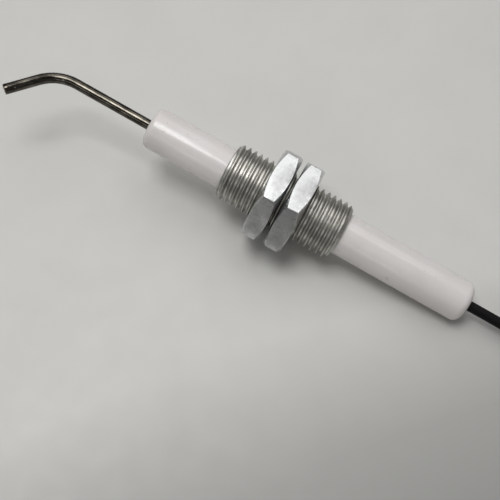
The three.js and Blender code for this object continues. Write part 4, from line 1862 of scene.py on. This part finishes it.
def dress_inner_pieces() -> None:
    """Gives the CAD nodes that stay, all of them inside the insulator and the bush, their finishes."""
    cement = Grainy("bush_cement", (0.56, 0.53, 0.46), (0.42, 0.4, 0.36), 0.85, 0.05 * MM).build()
    steel = SoftMetal("collar_steel", (0.55, 0.55, 0.55), (0.4, 0.39, 0.38), 0.32).build()
    brass = SoftMetal("ferrule_brass", (0.75, 0.6, 0.33), (0.55, 0.42, 0.24), 0.28).build()
    copper = SoftMetal("bare_copper", (0.8, 0.48, 0.34), (0.55, 0.32, 0.22), 0.3).build()
    shrunk = Grainy("shrunk_sleeve", (0.3, 0.29, 0.28), (0.24, 0.23, 0.22), 0.5).build()
    finishes = {
        "front_bush_cement": cement,
        "rear_bush_cement": cement,
        "front_seal_cement": cement,
        "rod_retaining_collar": steel,
        "splice_ferrule": brass,
        "splice_conductor": copper,
        "splice_sleeve": shrunk,
    }
    for node, material in finishes.items():
        dress(frame["nodes"][node], material)
        log.info("%s: kept from the frame", node)


# ------------------------------------------------------------------------------------------------- studio


@dataclass(frozen=True)
class Softbox:
    """A soft rectangular light that faces the electrode."""

    name: str
    towards: tuple[float, float, float]
    distance: float
    size: tuple[float, float]
    watts: float
    colour: Colour = (1.0, 1.0, 1.0)

    def build(self, target: Vector) -> None:
        """Places the light.

        Args:
            target: The point that it faces.
        """
        data = bpy.data.lights.new(self.name, "AREA")
        data.shape = "RECTANGLE"
        data.size, data.size_y = self.size
        data.energy = self.watts
        data.color = self.colour
        light = bpy.data.objects.new(self.name, data)
        bpy.context.scene.collection.objects.link(light)
        direction = Vector(self.towards).normalized()
        light.location = target + direction * self.distance
        light.rotation_euler = direction.to_track_quat("Z", "Y").to_euler()


@dataclass
class Studio:
    """The surface, the lights and the camera."""

    camera_place: tuple[float, float, float] = (0.03226, -0.08268, 0.17657)
    camera_aim: tuple[float, float, float] = (0.00865, -0.01435, 0.01)
    camera_roll: float = -9.08
    lens: float = 57.6
    world_tone: float = 0.17
    softboxes: tuple[Softbox, ...] = (
        Softbox("overhead", (-0.2, -0.08, 1.0), 0.6, (0.24, 0.24), 1.5),
        Softbox("ceiling", (-0.1, 0.62, 1.0), 0.9, (1.0, 0.7), 2.35),
        Softbox("strip", (-0.1, 0.2, 1.0), 0.8, (0.9, 0.025), 0.3),
        Softbox("front_window", (-0.1, -0.88, 0.5), 0.7, (0.7, 0.09), 0.3),
    )

    def build_camera(self) -> None:
        """Places the camera: it looks down on the electrode, a little rolled."""
        data = bpy.data.cameras.new("camera")
        data.sensor_width = 36.0
        data.lens = self.lens
        data.clip_start = 0.005
        camera = bpy.data.objects.new("camera", data)
        bpy.context.scene.collection.objects.link(camera)
        place, aim = Vector(self.camera_place), Vector(self.camera_aim)
        ahead = (aim - place).normalized()
        level = ahead.cross(Vector((0, 0, 1))).normalized()
        down = ahead.cross(level)
        roll = math.radians(self.camera_roll)
        right = level * math.cos(roll) + down * math.sin(roll)
        up = right.cross(ahead)
        turn = Matrix((right, up, -ahead)).transposed().to_4x4()
        camera.matrix_world = Matrix.Translation(place) @ turn
        bpy.context.scene.camera = camera

    def build_surface(self, finish: PaleSurface) -> None:
        """Lays the surface, finely divided near the electrode.

        Args:
            finish: Its finish.
        """
        steps = np.array([-3.0, -1.0, -0.3, -0.1, 0.0, 0.1, 0.3, 1.0, 3.0])
        points = [(x, y, 0.0) for y in steps for x in steps]
        n = len(steps)
        faces = [
            (r * n + c, r * n + c + 1, (r + 1) * n + c + 1, (r + 1) * n + c)
            for r in range(n - 1)
            for c in range(n - 1)
        ]
        surface = new_piece("surface", np.array(points), faces)
        dress(surface, finish.build())

    def build_lights(self) -> None:
        """Places the softboxes and the even light around them."""
        for softbox in self.softboxes:
            softbox.build(Vector((0, 0, 0)))
        world = bpy.data.worlds.new("studio_air")
        world.use_nodes = True
        background = world.node_tree.nodes["Background"]
        background.inputs["Color"].default_value = (1.0, 0.995, 0.98, 1.0)
        background.inputs["Strength"].default_value = self.world_tone
        bpy.context.scene.world = world
        bpy.context.scene.view_settings.view_transform = "Standard"


def main() -> None:
    """Builds the camera, the lead and then every other piece, and reports each."""
    logging.basicConfig(level=logging.INFO, format="%(name)s %(message)s")
    studio = Studio()
    studio.build_camera()
    axis = ElectrodeAxis.of_frame()
    lead = Lead(axis)
    jacket, path = lead.build(SiliconeRubber("black_silicone", (0.002, 0.002, 0.0022), 0.55, 0.12))
    nylon = Grainy("natural_nylon", (0.72, 0.7, 0.64), (0.66, 0.64, 0.58), 0.4, 0.01 * MM)
    copper = SoftMetal("strand_copper", (0.82, 0.5, 0.36), (0.6, 0.36, 0.25), 0.28)
    tin = SoftMetal("tinned_brass", (0.8, 0.74, 0.58), (0.62, 0.56, 0.42), 0.24)
    red = SiliconeRubber("red_silicone", (0.3, 0.025, 0.018), 0.42)
    terminal = Terminal()
    on_lead = [
        CoilTie(lead).build(nylon),
        terminal.build_conductor(copper),
        terminal.build_receptacle(tin),
        terminal.build_sleeve(red),
    ]
    bush_zinc = BrightZinc("bush_zinc", (0.58, 0.57, 0.535), (0.3, 0.295, 0.272), (0.3, 0.5), 0.004 * MM)
    ThreadedBush(axis).build(bush_zinc)
    front = LockNut(axis, "front_lock_nut", Body.FRONT_NUT, math.radians(2.2))
    front.build(BrightZinc("front_nut_zinc", bar_marks=True))
    LockNut(axis, "rear_lock_nut", Body.REAR_NUT).build(BrightZinc("rear_nut_zinc", bar_marks=True))
    potting = Grainy("grey_potting", (0.3, 0.295, 0.28), (0.24, 0.235, 0.23), 0.5)
    Insulator(axis).build(FiredCeramic(), potting)
    sheared = SoftMetal("sheared_end", (0.5, 0.46, 0.4), (0.25, 0.2, 0.17), 0.4)
    ElectrodeRod(axis).build(OxidisedWire(), sheared)
    dress_inner_pieces()
    studio.build_surface(PaleSurface())
    studio.build_lights()


if __name__ == "__main__":
    main()
